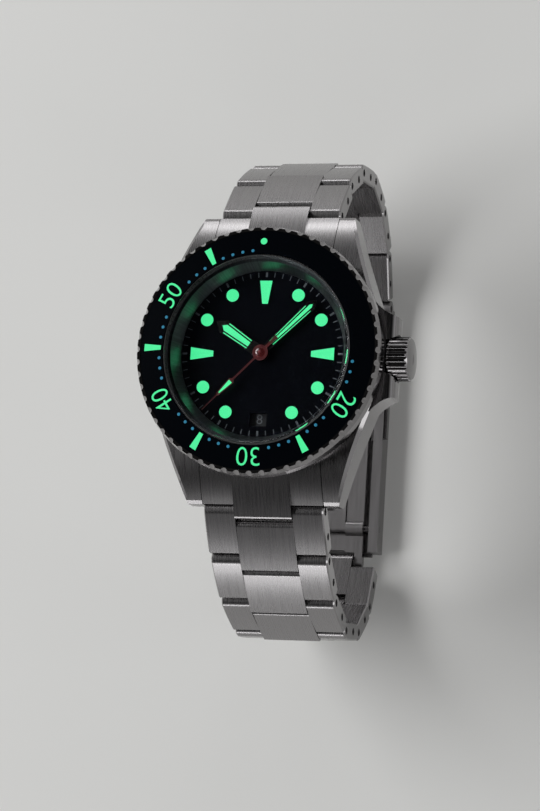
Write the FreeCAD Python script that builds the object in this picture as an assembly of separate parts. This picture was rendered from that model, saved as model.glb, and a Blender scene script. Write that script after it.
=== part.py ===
import FreeCAD, Part
import math
import os
from FreeCAD import Matrix, Rotation, Vector

# Dive watch on a three-link steel bracelet, closed by a folding clasp. Millimetres.
# Origin: centre of the case back's outer face. +Z out of the dial, +Y to 12 o'clock, +X to 3 o'clock.
# Heights are measured from the case back. The bracelet hangs in a closed loop below the case.

# ---- middle case ----
CASE_RADIUS = 19.5
CASE_TOP = 8.3
CASE_BOTTOM = 2.4
BEZEL_TABLE_RADIUS = 19.0
BEZEL_TABLE_TOP = 9.3
BORE_RADIUS = 15.17
NECK_RADIUS = 16.6
NECK_TOP = 11.9
LUG_TO_LUG = 46.4
LUG_SPACING = 20.0
LUG_TIP_WIDTH = 24.8
LUG_CURVE_START = 10.0
LUG_TIP_TOP = 4.3
LUG_TIP_BOTTOM = 0.6
LUG_TIP_CORNER = 0.5
LUG_UNDERSIDE_START = 13.0
LUG_BEVEL = 0.5
BARREL_RADIUS = 18.9

# ---- crown guards, crown and stem ----
CROWN_AXIS_Z = 5.4
CROWN_RADIUS = 3.5
CROWN_SEAT_X = CASE_RADIUS + 0.1
CROWN_LENGTH = 3.1
CROWN_DOME = 0.5
CROWN_RIM = 0.35
CROWN_KNURLS = 26
CROWN_KNURL_RADIUS = 0.3
CROWN_GAP = 0.25
GUARD_TIP_X = CASE_RADIUS + 1.7
GUARD_ROOT_Y = 8.8
GUARD_WAIST_X = CASE_RADIUS - 0.4
GUARD_WAIST_Y = 7.35
GUARD_TIP_Y = 6.4
GUARD_TOP = 8.0
GUARD_BOTTOM = 2.9
GUARD_ROUND = 1.6
TUBE_RADIUS = 1.6
TUBE_BORE = 1.0
TUBE_LENGTH = 6.0
TUBE_STAND = 1.5
STEM_RADIUS = 0.6
STEM_INNER_X = 5.0
SETTING_TRAVEL = 2.0

# ---- case back, movement and dial ----
BACK_RADIUS = 16.9
BACK_CLEARANCE = 0.1
BACK_FLOOR = 1.4
BACK_PLUG_WALL = 0.9
BACK_PLUG_TOP = 3.0
BACK_NOTCHES = 6
GASKET_WIDTH = 0.8
GASKET_DEPTH = 0.5
MOVEMENT_RADIUS = 12.9
MOVEMENT_BOTTOM = 3.5
HOLDER_BOTTOM = 3.1
ROTOR_RADIUS = 13.4
ROTOR_RIM = 2.2
ROTOR_BOTTOM = 1.7
ROTOR_TOP = 2.95
ROTOR_WEB = 0.35
ROTOR_POST_RADIUS = 0.8
DATE_DISC_RADIUS = 12.6
DATE_DISC_BORE = 8.6
DATE_WINDOW_RADIUS = 10.55
DATE_WINDOW = (2.7, 2.1)
DIAL_TOP = 8.95
DIAL_THICKNESS = 0.4
DATE_DISC_TOP = DIAL_TOP - DIAL_THICKNESS - 0.4
MOVEMENT_TOP = DATE_DISC_TOP - 0.35
DIAL_BORE = 1.15
MARKER_HEIGHT = 0.2
MARKER_DOT_RADIUS = 1.0
MARKER_DOT_PLACE = 10.82
MARKER_BAR_PLACE = 9.88
MARKER_BAR_LENGTH = 3.7
MARKER_BAR_OUTER = 1.98
MARKER_BAR_INNER = 0.88
REHAUT_INNER = 13.3
REHAUT_TOP_INNER = 14.3

# ---- crystal and bezel ----
CRYSTAL_RADIUS = 14.9
CRYSTAL_BOTTOM = 11.6
CRYSTAL_THICKNESS = 2.1
CRYSTAL_BEVEL = 0.45
CRYSTAL_GASKET_TOP = 12.9
BEZEL_RADIUS = 19.9
BEZEL_BOTTOM = 9.5
BEZEL_LEDGE_TOP = 11.5
BEZEL_RIM_RADIUS = BEZEL_RADIUS - 0.3
BEZEL_RIM_TOP = 12.62
BEZEL_FLANGE_BOTTOM = 12.0
BEZEL_SCALLOPS = 60
SCALLOP_RADIUS = 0.6
SCALLOP_LIP = 0.1
SCALLOP_SLOPE = 56.0
INSERT_INNER = 15.3
INSERT_OUTER = BEZEL_RIM_RADIUS - 0.5
INSERT_TOP = 13.0
INSERT_DROP = 0.45
INSERT_THICKNESS = 0.5
INSERT_FIT = 0.02
BEZEL_SETTING = 0.8
BEZEL_PIP_RADIUS = 0.53
BEZEL_PIP_PLACE = INSERT_OUTER - 1.75
BEZEL_BAR_PLACE = INSERT_OUTER - 2.1
BEZEL_BAR_LENGTH = 2.8
BEZEL_BAR_OUTER = 1.15
BEZEL_BAR_INNER = 0.68
BEZEL_BAR_MINUTES = (25, 35, 45, 55)
INLAY_DEPTH = 0.2
INLAY_PROUD = 0.02

# ---- hands: plate thicknesses, reaches and places ----
HAND_THICKNESS = 0.14
HAND_STEP = 0.32
HOUR_HAND_BOTTOM = DIAL_TOP + 0.37
HOUR_ANGLE = 303.8
MINUTE_ANGLE = 45.8
SECONDS_ANGLE = 224.5
HOUR_REACH = 9.3
MINUTE_REACH = 12.15
SECONDS_REACH = 12.9
SECONDS_TAIL = 3.6
HUB_RADIUS = 1.25
HOUR_ARROW = 1.7
MINUTE_ARROW = 1.55
HOUR_LUME_START = 2.5
MINUTE_LUME_START = 2.3
LUME_POINT_SETBACK = (1.3, 0.95)
LUME_POINT_LENGTH = (0.65, 0.45)
LUME_LINE_SETBACK = (2.1, 1.95)
SECONDS_LUME_START = 6.5
SECONDS_LUME_LENGTH = 2.6
SECONDS_FRAME = 0.2
HOUR_PIPE = (0.62, 0.95)
MINUTE_PIPE = (0.32, 0.56)
SECONDS_ARBOR = 0.26
HOUR_WHEEL_RADIUS = 3.0

# ---- bracelet rows ----
ROW_PITCH = 8.6
ROW_HALF_THICKNESS = 1.4
ROW_GAP = 0.15
ROW_CROWNING = 0.12
ROW_WIDTH = 19.6
ROW_TAPER = 0.4
ROW_EDGE = 0.2
CENTRE_WIDTH = 9.4
CENTRE_SIDE_GAP = 0.05
CENTRE_SHOULDER = 0.7
ROW_PIN_RADIUS = 0.6
PIN_RUNNING_FIT = 0.05
PIN_RECESS = 0.3
FIRST_HINGE_Y = 23.9
FIRST_HINGE_Z = 2.15
SLOPES_12H = (42.0, 61.0, 85.0, 114.0, 140.0, 161.0)
SLOPES_6H = (34.0, 47.0, 66.0, 95.0, 126.0)

# ---- end links and lug bars ----
END_LINK_GAP = 0.1
END_LINK_BOTTOM = 0.9
END_LINK_CREST = 0.25
LUG_BAR_Y = 20.9
LUG_BAR_Z = 2.9
LUG_BAR_RADIUS = 0.9
LUG_BAR_REACH = 0.9

# ---- clasp ----
BLADE_THICKNESS = 1.4
BLADE_1_HALF_WIDTH = 3.0
BLADE_2_INNER = 3.2
BLADE_2_OUTER = 6.2
BLADE_GAP = 0.15
BLADE_HUMP = 0.7
CLASP_JOINT_INSET = 10.0
CLASP_FOLD_LENGTH = 28.0
CLASP_PIN_RADIUS = 0.6
COVER_HALF_WIDTH = 8.8
COVER_WALL = 1.6
COVER_WALL_RISE = 1.1
COVER_THICKNESS = 1.65
COVER_END_GAP = 0.5
COVER_TAIL = 4.0
EAR_RADIUS = 1.35
FLAP_THICKNESS = 0.85
FLAP_HALF_WIDTH = 7.2
FLAP_LENGTH = 15.0
FLAP_HINGE_INSET = 14.5
FLAP_BARREL_RADIUS = 0.65
FLAP_PIN_RADIUS = 0.35
BUTTON_LENGTH = 5.0
BUTTON_HEIGHT = 1.3
BUTTON_PROUD = 0.5
BUTTON_FLANGE = 0.4
BUTTON_INSET = 22.0

FULL_TURN = 360.0
MINUTES = 60
SAME_POINT = 1e-6


def cylinder(radius, low, high):
    """Upright cylinder between two heights."""
    return Part.makeCylinder(radius, high - low, Vector(0, 0, low))


def ring(inner, outer, low, high):
    """Upright ring between two heights."""
    return cylinder(outer, low, high).cut(cylinder(inner, low, high))


def cross_bar(radius, x_low, x_high, y, z):
    """Round bar lying along X."""
    return Part.makeCylinder(radius, x_high - x_low, Vector(x_low, y, z), Vector(1, 0, 0))


def box(low, high):
    """Box between two corners."""
    size = [high[i] - low[i] for i in range(3)]
    return Part.makeBox(size[0], size[1], size[2], Vector(*low))


def outline(steps):
    """Closed face from points; a pair of points in one step is an arc's middle and end."""
    edges = []
    here = steps[0]
    for step in steps[1:]:
        if isinstance(step, tuple):
            middle, end = step
            edges.append(Part.Arc(here, middle, end).toShape())
        else:
            end = step
            edges.append(Part.LineSegment(here, end).toShape())
        here = end
    if not here.isEqual(steps[0], SAME_POINT):
        edges.append(Part.LineSegment(here, steps[0]).toShape())
    return Part.Face(Part.Wire(edges))


def revolved(points):
    """Solid of revolution about Z from (radius, height) points."""
    face = outline([Vector(radius, 0, height) for radius, height in points])
    return face.revolve(Vector(0, 0, 0), Vector(0, 0, 1), FULL_TURN)


def plate(points, low, high):
    """Flat plate with a plan outline of (x, y) points."""
    face = outline([Vector(x, y, low) for x, y in points])
    return face.extrude(Vector(0, 0, high - low))


def turned(shape, degrees):
    """Copy turned clockwise about Z as seen from the dial side."""
    copy = shape.copy()
    copy.rotate(Vector(0, 0, 0), Vector(0, 0, 1), -degrees)
    return copy


def mirrored_x(shape):
    """Mirror image across the YZ plane."""
    return shape.mirror(Vector(0, 0, 0), Vector(1, 0, 0))


def mirrored_y(shape):
    """Mirror image across the XZ plane."""
    return shape.mirror(Vector(0, 0, 0), Vector(0, 1, 0))


def falling_arc(start_y, start_z, end_y, end_z):
    """Middle point of the arc that starts level at one point and falls to another."""
    run = end_y - start_y
    drop = start_z - end_z
    radius = (run * run + drop * drop) / (2 * drop)
    half_angle = math.asin(run / radius) / 2
    return start_y + radius * math.sin(half_angle), start_z - radius * (1 - math.cos(half_angle))


def wedge_plan(place, length, outer, inner):
    """Plan of a bar pointing at the centre: wide end outwards, on the 12 o'clock line."""
    low = place - length / 2
    high = place + length / 2
    return [(-inner / 2, low), (inner / 2, low), (outer / 2, high), (-outer / 2, high)]


# ---------------------------------------------------------------- case

def lug_top_height(y):
    """Height of the lugs' curved top at a distance y from the centre line."""
    tip_y = LUG_TO_LUG / 2 - LUG_TIP_CORNER
    run = tip_y - LUG_CURVE_START
    drop = CASE_TOP - LUG_TIP_TOP
    radius = (run * run + drop * drop) / (2 * drop)
    return CASE_TOP - radius + math.sqrt(radius * radius - (y - LUG_CURVE_START) ** 2)


def case_plan():
    """Plan outline: two arcs of the case radius and four tangent lines to the lug tips."""
    tip_x = LUG_TIP_WIDTH / 2
    tip_y = LUG_TO_LUG / 2
    tangent = math.atan2(tip_y, tip_x) - math.acos(CASE_RADIUS / math.hypot(tip_x, tip_y))
    x = CASE_RADIUS * math.cos(tangent)
    y = CASE_RADIUS * math.sin(tangent)
    return outline([
        Vector(x, -y, 0),
        (Vector(CASE_RADIUS, 0, 0), Vector(x, y, 0)),
        Vector(tip_x, tip_y, 0),
        Vector(-tip_x, tip_y, 0),
        Vector(-x, y, 0),
        (Vector(-CASE_RADIUS, 0, 0), Vector(-x, -y, 0)),
        Vector(-tip_x, -tip_y, 0),
        Vector(tip_x, -tip_y, 0),
    ])


def case_side():
    """Side outline in YZ: lugs that fall away on top and hollow underneath."""
    tip = LUG_TO_LUG / 2
    top_end = tip - LUG_TIP_CORNER
    top_middle = falling_arc(LUG_CURVE_START, CASE_TOP, top_end, LUG_TIP_TOP)
    under_middle = falling_arc(LUG_UNDERSIDE_START, CASE_BOTTOM, top_end, LUG_TIP_BOTTOM)
    right = [
        Vector(0, LUG_UNDERSIDE_START, CASE_BOTTOM),
        (Vector(0, *under_middle), Vector(0, top_end, LUG_TIP_BOTTOM)),
        Vector(0, tip, LUG_TIP_BOTTOM + LUG_TIP_CORNER),
        Vector(0, tip, LUG_TIP_TOP - LUG_TIP_CORNER),
        Vector(0, top_end, LUG_TIP_TOP),
        (Vector(0, *top_middle), Vector(0, LUG_CURVE_START, CASE_TOP)),
    ]
    left = [
        Vector(0, -LUG_CURVE_START, CASE_TOP),
        (Vector(0, -top_middle[0], top_middle[1]), Vector(0, -top_end, LUG_TIP_TOP)),
        Vector(0, -tip, LUG_TIP_TOP - LUG_TIP_CORNER),
        Vector(0, -tip, LUG_TIP_BOTTOM + LUG_TIP_CORNER),
        Vector(0, -top_end, LUG_TIP_BOTTOM),
        (Vector(0, -under_middle[0], under_middle[1]), Vector(0, -LUG_UNDERSIDE_START, CASE_BOTTOM)),
    ]
    return outline(right + left)


def bevelled_flanks(body):
    """Polished bevel all along the upper edge of the flanks and the lugs."""
    edges = []
    for edge in body.Edges:
        middle = edge.valueAt((edge.FirstParameter + edge.LastParameter) / 2)
        on_flank = abs(middle.x) > LUG_TIP_WIDTH / 2
        on_top = middle.z > LUG_TIP_TOP
        if on_flank and on_top and edge.BoundBox.YLength > LUG_BEVEL:
            edges.append(edge)
    return body.makeChamfer(LUG_BEVEL, edges)


def crown_guards():
    """Two horns that stand out of the case each side of the crown."""
    tip_x = LUG_TIP_WIDTH / 2
    tip_y = LUG_TO_LUG / 2
    tangent = math.atan2(tip_y, tip_x) - math.acos(CASE_RADIUS / math.hypot(tip_x, tip_y))
    root_x = (CASE_RADIUS - GUARD_ROOT_Y * math.sin(tangent)) / math.cos(tangent)
    waist_x = GUARD_WAIST_X
    waist_y = GUARD_WAIST_Y
    face = outline([
        Vector(root_x, GUARD_ROOT_Y, GUARD_BOTTOM),
        (Vector(waist_x, waist_y, GUARD_BOTTOM), Vector(GUARD_TIP_X, GUARD_TIP_Y, GUARD_BOTTOM)),
        Vector(GUARD_TIP_X, -GUARD_TIP_Y, GUARD_BOTTOM),
        (Vector(waist_x, -waist_y, GUARD_BOTTOM), Vector(root_x, -GUARD_ROOT_Y, GUARD_BOTTOM)),
        Vector(BARREL_RADIUS - 2, -GUARD_ROOT_Y, GUARD_BOTTOM),
        Vector(BARREL_RADIUS - 2, GUARD_ROOT_Y, GUARD_BOTTOM),
    ])
    block = face.extrude(Vector(0, 0, GUARD_TOP - GUARD_BOTTOM))
    rims = [
        edge for edge in block.Edges
        if edge.BoundBox.XMin > GUARD_TIP_X - SAME_POINT and edge.BoundBox.YLength > GUARD_TIP_Y
    ]
    return block.makeFillet(GUARD_ROUND, rims)


def mid_case():
    """Middle case: lugs, crown guards, movement bore, crystal neck and all its holes."""
    height = CASE_TOP - LUG_TIP_BOTTOM
    plan = case_plan().extrude(Vector(0, 0, height))
    plan.translate(Vector(0, 0, LUG_TIP_BOTTOM))
    side = case_side().extrude(Vector(LUG_TO_LUG, 0, 0))
    side.translate(Vector(-LUG_TO_LUG / 2, 0, 0))
    body = bevelled_flanks(plan.common(side))
    body = body.fuse([
        crown_guards(),
        cylinder(BEZEL_TABLE_RADIUS, CASE_BOTTOM, BEZEL_TABLE_TOP),
        cylinder(NECK_RADIUS, CASE_BOTTOM, NECK_TOP),
    ])
    half = LUG_SPACING / 2
    slots = box((-half, -LUG_TO_LUG, 0), (half, LUG_TO_LUG, CASE_TOP + 1))
    slots = slots.cut(cylinder(BARREL_RADIUS, 0, CASE_TOP + 1))
    crown_reach = GUARD_TIP_X + CROWN_RADIUS
    bar_hole = LUG_BAR_RADIUS + PIN_RUNNING_FIT
    bar_half = half + LUG_BAR_REACH + PIN_RUNNING_FIT
    cuts = [
        slots,
        cylinder(BORE_RADIUS, 0, NECK_TOP),
        cylinder(BACK_RADIUS + BACK_CLEARANCE, 0, CASE_BOTTOM),
        cross_bar(CROWN_RADIUS + CROWN_GAP, CROWN_SEAT_X, crown_reach, 0, CROWN_AXIS_Z),
        cross_bar(TUBE_RADIUS, 0, CROWN_SEAT_X, 0, CROWN_AXIS_Z),
        cross_bar(bar_hole, -bar_half, bar_half, LUG_BAR_Y, LUG_BAR_Z),
        cross_bar(bar_hole, -bar_half, bar_half, -LUG_BAR_Y, LUG_BAR_Z),
        click_spring_shape(),
        bezel_gasket_shape(),
    ]
    return body.cut(cuts).removeSplitter()


def click_spring_shape():
    """Flat ring let into the case under the bezel."""
    return ring(NECK_RADIUS + 0.4, BEZEL_TABLE_RADIUS - 0.6, BEZEL_TABLE_TOP - 0.25, BEZEL_TABLE_TOP)


def bezel_click_spring():
    """Click spring: the let-in ring with three raised pawl tongues."""
    pawl_low = BEZEL_TABLE_TOP
    pawl = box((NECK_RADIUS + 0.6, -0.8, pawl_low), (BEZEL_TABLE_RADIUS - 0.8, 0.8, pawl_low + 0.1))
    return click_spring_shape().fuse([turned(pawl, k * FULL_TURN / 3) for k in range(3)])


def bezel_gasket_shape():
    """Rubber ring in a groove of the neck, just short of the bezel's bore."""
    return ring(NECK_RADIUS - 0.4, NECK_RADIUS, BEZEL_TABLE_TOP + 0.9, BEZEL_TABLE_TOP + 1.5)


def case_back():
    """Screwed back: plain disc with a plug wall, a gasket groove and notches for its key."""
    plug = BORE_RADIUS - PIN_RUNNING_FIT
    edge = 0.5
    body = revolved([
        (0, 0), (BACK_RADIUS - 2 * edge, 0), (BACK_RADIUS, edge), (BACK_RADIUS, CASE_BOTTOM),
        (plug, CASE_BOTTOM), (plug, BACK_PLUG_TOP), (plug - BACK_PLUG_WALL, BACK_PLUG_TOP),
        (plug - BACK_PLUG_WALL, BACK_FLOOR), (0, BACK_FLOOR),
    ])
    notch = box((-1.5, BACK_RADIUS - 2, -1), (1.5, BACK_RADIUS + 1, edge + 0.1))
    notches = [turned(notch, k * FULL_TURN / BACK_NOTCHES) for k in range(BACK_NOTCHES)]
    return body.cut([case_back_gasket()] + notches)


def case_back_gasket():
    """Rubber ring that seals the case back against the middle case."""
    inner = BORE_RADIUS + 0.3
    return ring(inner, inner + GASKET_WIDTH, CASE_BOTTOM - GASKET_DEPTH, CASE_BOTTOM)


def crystal():
    """Flat glass with a bevelled rim."""
    top = CRYSTAL_BOTTOM + CRYSTAL_THICKNESS
    return revolved([
        (0, CRYSTAL_BOTTOM), (CRYSTAL_RADIUS, CRYSTAL_BOTTOM), (CRYSTAL_RADIUS, top - CRYSTAL_BEVEL),
        (CRYSTAL_RADIUS - CRYSTAL_BEVEL, top), (0, top),
    ])


def crystal_gasket():
    """Ring that grips the glass in the neck of the case."""
    return ring(CRYSTAL_RADIUS, BORE_RADIUS, CRYSTAL_BOTTOM, CRYSTAL_GASKET_TOP)


def rehaut_ring():
    """Sloping inner ring between the dial and the glass."""
    outer = BORE_RADIUS - PIN_RUNNING_FIT
    return revolved([
        (REHAUT_INNER, DIAL_TOP), (outer, DIAL_TOP), (outer, CRYSTAL_BOTTOM),
        (REHAUT_TOP_INNER, CRYSTAL_BOTTOM), (REHAUT_INNER, DIAL_TOP + 0.3),
    ])


# ---------------------------------------------------------------- bezel

def insert_band(rise, thickness, outer):
    """Conical band parallel to the insert's top, its upper face raised by rise."""
    slope = INSERT_DROP / (INSERT_OUTER - INSERT_INNER)
    top_inner = INSERT_TOP + rise
    top_outer = top_inner - slope * (outer - INSERT_INNER)
    return revolved([
        (INSERT_INNER, top_inner - thickness), (outer, top_outer - thickness),
        (outer, top_outer), (INSERT_INNER, top_inner),
    ])


def bezel_scallops():
    """Round scoops across the rim; their floor line slopes down from beside the insert."""
    slope = math.radians(SCALLOP_SLOPE)
    direction = Vector(0, math.cos(slope), -math.sin(slope))
    outwards = Vector(0, math.sin(slope), math.cos(slope))
    floor_start = Vector(0, INSERT_OUTER + SCALLOP_LIP, BEZEL_RIM_TOP)
    start = floor_start + outwards * SCALLOP_RADIUS - direction * SCALLOP_RADIUS
    groove = Part.makeCylinder(SCALLOP_RADIUS, 4 * SCALLOP_RADIUS, start, direction)
    return [turned(groove, k * FULL_TURN / BEZEL_SCALLOPS) for k in range(BEZEL_SCALLOPS)]


def bezel():
    """Turning bezel with a scalloped grip and a recess for the insert."""
    bore = NECK_RADIUS + PIN_RUNNING_FIT
    edge = 0.3
    body = revolved([
        (bore, BEZEL_BOTTOM), (BEZEL_RADIUS - edge, BEZEL_BOTTOM), (BEZEL_RADIUS, BEZEL_BOTTOM + edge),
        (BEZEL_RADIUS, BEZEL_LEDGE_TOP), (BEZEL_RIM_RADIUS, BEZEL_RIM_TOP), (INSERT_INNER, BEZEL_RIM_TOP),
        (INSERT_INNER, BEZEL_FLANGE_BOTTOM), (bore, BEZEL_FLANGE_BOTTOM),
    ])
    recess = insert_band(INSERT_THICKNESS, 2 * INSERT_THICKNESS + INSERT_FIT, INSERT_OUTER)
    return body.cut([recess] + bezel_scallops())


def bezel_marker_plans():
    """Upright plugs with the plans of the pip at zero and the bars at four of the tens."""
    low = BEZEL_FLANGE_BOTTOM
    high = INSERT_TOP + 1
    pip = cylinder(BEZEL_PIP_RADIUS, low, high)
    pip.translate(Vector(0, BEZEL_PIP_PLACE, 0))
    plan = wedge_plan(BEZEL_BAR_PLACE, BEZEL_BAR_LENGTH, BEZEL_BAR_OUTER, BEZEL_BAR_INNER)
    bar = plate(plan, low, high)
    plugs = [pip] + [turned(bar, m * FULL_TURN / MINUTES) for m in BEZEL_BAR_MINUTES]
    return [turned(plug, BEZEL_SETTING) for plug in plugs]


def bezel_insert():
    """Conical insert with pockets for the luminous inlays."""
    body = insert_band(0, INSERT_THICKNESS, INSERT_OUTER - INSERT_FIT)
    pocket = insert_band(INLAY_PROUD, INLAY_DEPTH + INLAY_PROUD + INSERT_FIT, INSERT_OUTER + 1)
    return body.cut([plan.common(pocket) for plan in bezel_marker_plans()])


def bezel_markers():
    """Luminous inlays that fill the pockets of the insert."""
    layer = insert_band(INLAY_PROUD, INLAY_DEPTH + INLAY_PROUD, INSERT_OUTER - INSERT_FIT)
    return Part.makeCompound([plan.common(layer) for plan in bezel_marker_plans()])


# ---------------------------------------------------------------- dial and movement

def dial():
    """Dial plate with the hole for the hands and the date window at 6 o'clock."""
    low = DIAL_TOP - DIAL_THICKNESS
    half_width = DATE_WINDOW[0] / 2
    half_height = DATE_WINDOW[1] / 2
    window = box(
        (-half_width, -DATE_WINDOW_RADIUS - half_height, low),
        (half_width, -DATE_WINDOW_RADIUS + half_height, DIAL_TOP),
    )
    return ring(DIAL_BORE, BORE_RADIUS - 0.2, low, DIAL_TOP).cut(window)


def hour_markers():
    """Luminous hour markers: bars at 12, 3 and 9, dots at the other hours, none at 6."""
    high = DIAL_TOP + MARKER_HEIGHT
    bar = plate(wedge_plan(MARKER_BAR_PLACE, MARKER_BAR_LENGTH, MARKER_BAR_OUTER, MARKER_BAR_INNER),
                DIAL_TOP, high)
    dot = cylinder(MARKER_DOT_RADIUS, DIAL_TOP, high)
    dot.translate(Vector(0, MARKER_DOT_PLACE, 0))
    hour_step = FULL_TURN / 12
    bars = [turned(bar, hour * hour_step) for hour in (0, 3, 9)]
    dots = [turned(dot, hour * hour_step) for hour in (1, 2, 4, 5, 7, 8, 10, 11)]
    return Part.makeCompound(bars + dots)


def date_disc():
    """Ring that carries the dates under the dial."""
    return ring(DATE_DISC_BORE, DATE_DISC_RADIUS, MOVEMENT_TOP + 0.15, DATE_DISC_TOP)


def setting_pocket():
    """Space inside the movement where the setting lever slides with the stem."""
    return (8.0 - 0.2, 9.0 + SETTING_TRAVEL + 0.2, 1.6, 1.3)


def movement():
    """Movement as one body, with its stem bore, keyless pocket and rotor post."""
    pocket_low, pocket_high, half_width, half_height = setting_pocket()
    body = cylinder(MOVEMENT_RADIUS, MOVEMENT_BOTTOM, MOVEMENT_TOP)
    pocket = box((pocket_low, -half_width, CROWN_AXIS_Z - half_height),
                 (pocket_high, half_width, CROWN_AXIS_Z + half_height))
    stem_hole = cross_bar(STEM_RADIUS + PIN_RUNNING_FIT, STEM_INNER_X - 0.3, MOVEMENT_RADIUS + 1,
                          0, CROWN_AXIS_Z)
    wheel_room = cylinder(HOUR_PIPE[1] + 0.1, MOVEMENT_TOP - 1.5, MOVEMENT_TOP)
    post = cylinder(ROTOR_POST_RADIUS, ROTOR_BOTTOM, MOVEMENT_BOTTOM)
    head = cylinder(ROTOR_POST_RADIUS * 2, ROTOR_BOTTOM, ROTOR_BOTTOM + 0.3)
    return body.cut([pocket, stem_hole, wheel_room]).fuse([post, head])


def movement_holder():
    """Spacer ring between the movement and the case bore."""
    body = ring(MOVEMENT_RADIUS + PIN_RUNNING_FIT, BORE_RADIUS - PIN_RUNNING_FIT,
                HOLDER_BOTTOM, DIAL_TOP - DIAL_THICKNESS)
    return body.cut(cross_bar(TUBE_RADIUS + PIN_RUNNING_FIT, 0, CASE_RADIUS, 0, CROWN_AXIS_Z))


def rotor():
    """Winding rotor: a half disc with a heavy rim, turning on the movement's post."""
    hub_low = ROTOR_BOTTOM + 0.4
    web_low = ROTOR_TOP - ROTOR_WEB
    web = cylinder(ROTOR_RADIUS, web_low, ROTOR_TOP)
    rim = ring(ROTOR_RADIUS - ROTOR_RIM, ROTOR_RADIUS, ROTOR_BOTTOM, ROTOR_TOP)
    half = box((-ROTOR_RADIUS, -ROTOR_RADIUS, 0), (ROTOR_RADIUS, 0, ROTOR_TOP))
    hub = cylinder(ROTOR_POST_RADIUS * 2.5, hub_low, ROTOR_TOP)
    bore = cylinder(ROTOR_POST_RADIUS + PIN_RUNNING_FIT, 0, ROTOR_TOP)
    room = cylinder(ROTOR_POST_RADIUS * 2 + 0.1, 0, hub_low)
    return web.fuse(rim).common(half).fuse(hub).cut([bore, room])


# ---------------------------------------------------------------- crown

def crown_tube():
    """Tube pressed into the case, which the crown closes over."""
    outer_x = CROWN_SEAT_X + TUBE_STAND
    body = cross_bar(TUBE_RADIUS, outer_x - TUBE_LENGTH, outer_x, 0, CROWN_AXIS_Z)
    return body.cut(cross_bar(TUBE_BORE, outer_x - TUBE_LENGTH, outer_x, 0, CROWN_AXIS_Z))


def crown():
    """Knurled crown with a domed end, hollow where it covers the tube."""
    foot = CROWN_SEAT_X + CROWN_GAP
    face_x = foot + CROWN_LENGTH
    rim = CROWN_RIM
    end_x = face_x + CROWN_DOME
    edge_radius = CROWN_RADIUS - rim
    rise = CROWN_DOME - rim
    sphere = (edge_radius * edge_radius + rise * rise) / (2 * rise)
    half_angle = math.asin(edge_radius / sphere) / 2
    dome_middle = Vector(end_x - sphere * (1 - math.cos(half_angle)), sphere * math.sin(half_angle), 0)
    profile = outline([
        Vector(foot, 0, 0),
        Vector(foot, CROWN_RADIUS - rim, 0),
        Vector(foot + rim, CROWN_RADIUS, 0),
        Vector(face_x, CROWN_RADIUS, 0),
        Vector(face_x + rim, edge_radius, 0),
        (dome_middle, Vector(end_x, 0, 0)),
    ])
    body = profile.revolve(Vector(0, 0, 0), Vector(1, 0, 0), FULL_TURN)
    groove = cross_bar(CROWN_KNURL_RADIUS, foot - 1, end_x, CROWN_RADIUS + 0.05, 0)
    grooves = []
    for k in range(CROWN_KNURLS):
        copy = groove.copy()
        copy.rotate(Vector(0, 0, 0), Vector(1, 0, 0), k * FULL_TURN / CROWN_KNURLS)
        grooves.append(copy)
    room = cross_bar(TUBE_RADIUS + PIN_RUNNING_FIT, foot - 1, foot + TUBE_STAND, 0, 0)
    socket = cross_bar(STEM_RADIUS, foot, foot + TUBE_STAND + 1, 0, 0)
    body = body.cut(grooves + [room, socket])
    body.translate(Vector(0, 0, CROWN_AXIS_Z))
    return body


def winding_stem():
    """Stem from the movement to the crown's socket."""
    end = CROWN_SEAT_X + CROWN_GAP + TUBE_STAND + 1
    return cross_bar(STEM_RADIUS, STEM_INNER_X, end, 0, CROWN_AXIS_Z)


def setting_lever():
    """Lever block that holds the stem and slides with it when the crown is pulled."""
    low, high, half_width, half_height = setting_pocket()
    gap = 0.1
    block = box((low + 0.2, gap - half_width, CROWN_AXIS_Z + gap - half_height),
                (high - SETTING_TRAVEL - 0.2, half_width - gap, CROWN_AXIS_Z + half_height - gap))
    return block.cut(cross_bar(STEM_RADIUS + PIN_RUNNING_FIT, 0, high, 0, CROWN_AXIS_Z))


# ---------------------------------------------------------------- hands

def hand_blade(half_root, half_neck, half_head, root, neck, reach):
    """Plan of a blade that widens to its neck and ends in an arrowhead, and a round hub."""
    return [
        (-half_root, root), (-half_neck, neck), (-half_head, neck), (0, reach),
        (half_head, neck), (half_neck, neck), (half_root, root),
    ]


def lume_strips(start, reach, which, bar_halves, line_outer, line_width):
    """Plans of a pointed middle bar and the thin line each side of it."""
    point = reach - LUME_POINT_SETBACK[which]
    end = point - LUME_POINT_LENGTH[which]
    line_end = reach - LUME_LINE_SETBACK[which]
    half_low, half_high = bar_halves
    outer_low, outer_high = line_outer
    middle = [(-half_low, start), (half_low, start), (half_high, end), (0, point), (-half_high, end)]
    right = [
        (outer_low - line_width, start), (outer_low, start),
        (outer_high, line_end), (outer_high - line_width, line_end),
    ]
    left = [(-x, y) for x, y in right]
    return [middle, right, left]


def hour_strips():
    """Luminous strips of the hour hand."""
    return lume_strips(HOUR_LUME_START, HOUR_REACH, 0, (0.38, 0.54), (0.78, 0.94), 0.17)


def minute_strips():
    """Luminous strips of the minute hand."""
    return lume_strips(MINUTE_LUME_START, MINUTE_REACH, 1, (0.14, 0.29), (0.46, 0.66), 0.14)


def seconds_strip():
    """Luminous wedge of the seconds hand, wide end inwards."""
    low = SECONDS_LUME_START
    high = low + SECONDS_LUME_LENGTH
    return [[(-0.36, low), (0.36, low), (0.12, high), (-0.12, high)]]


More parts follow.
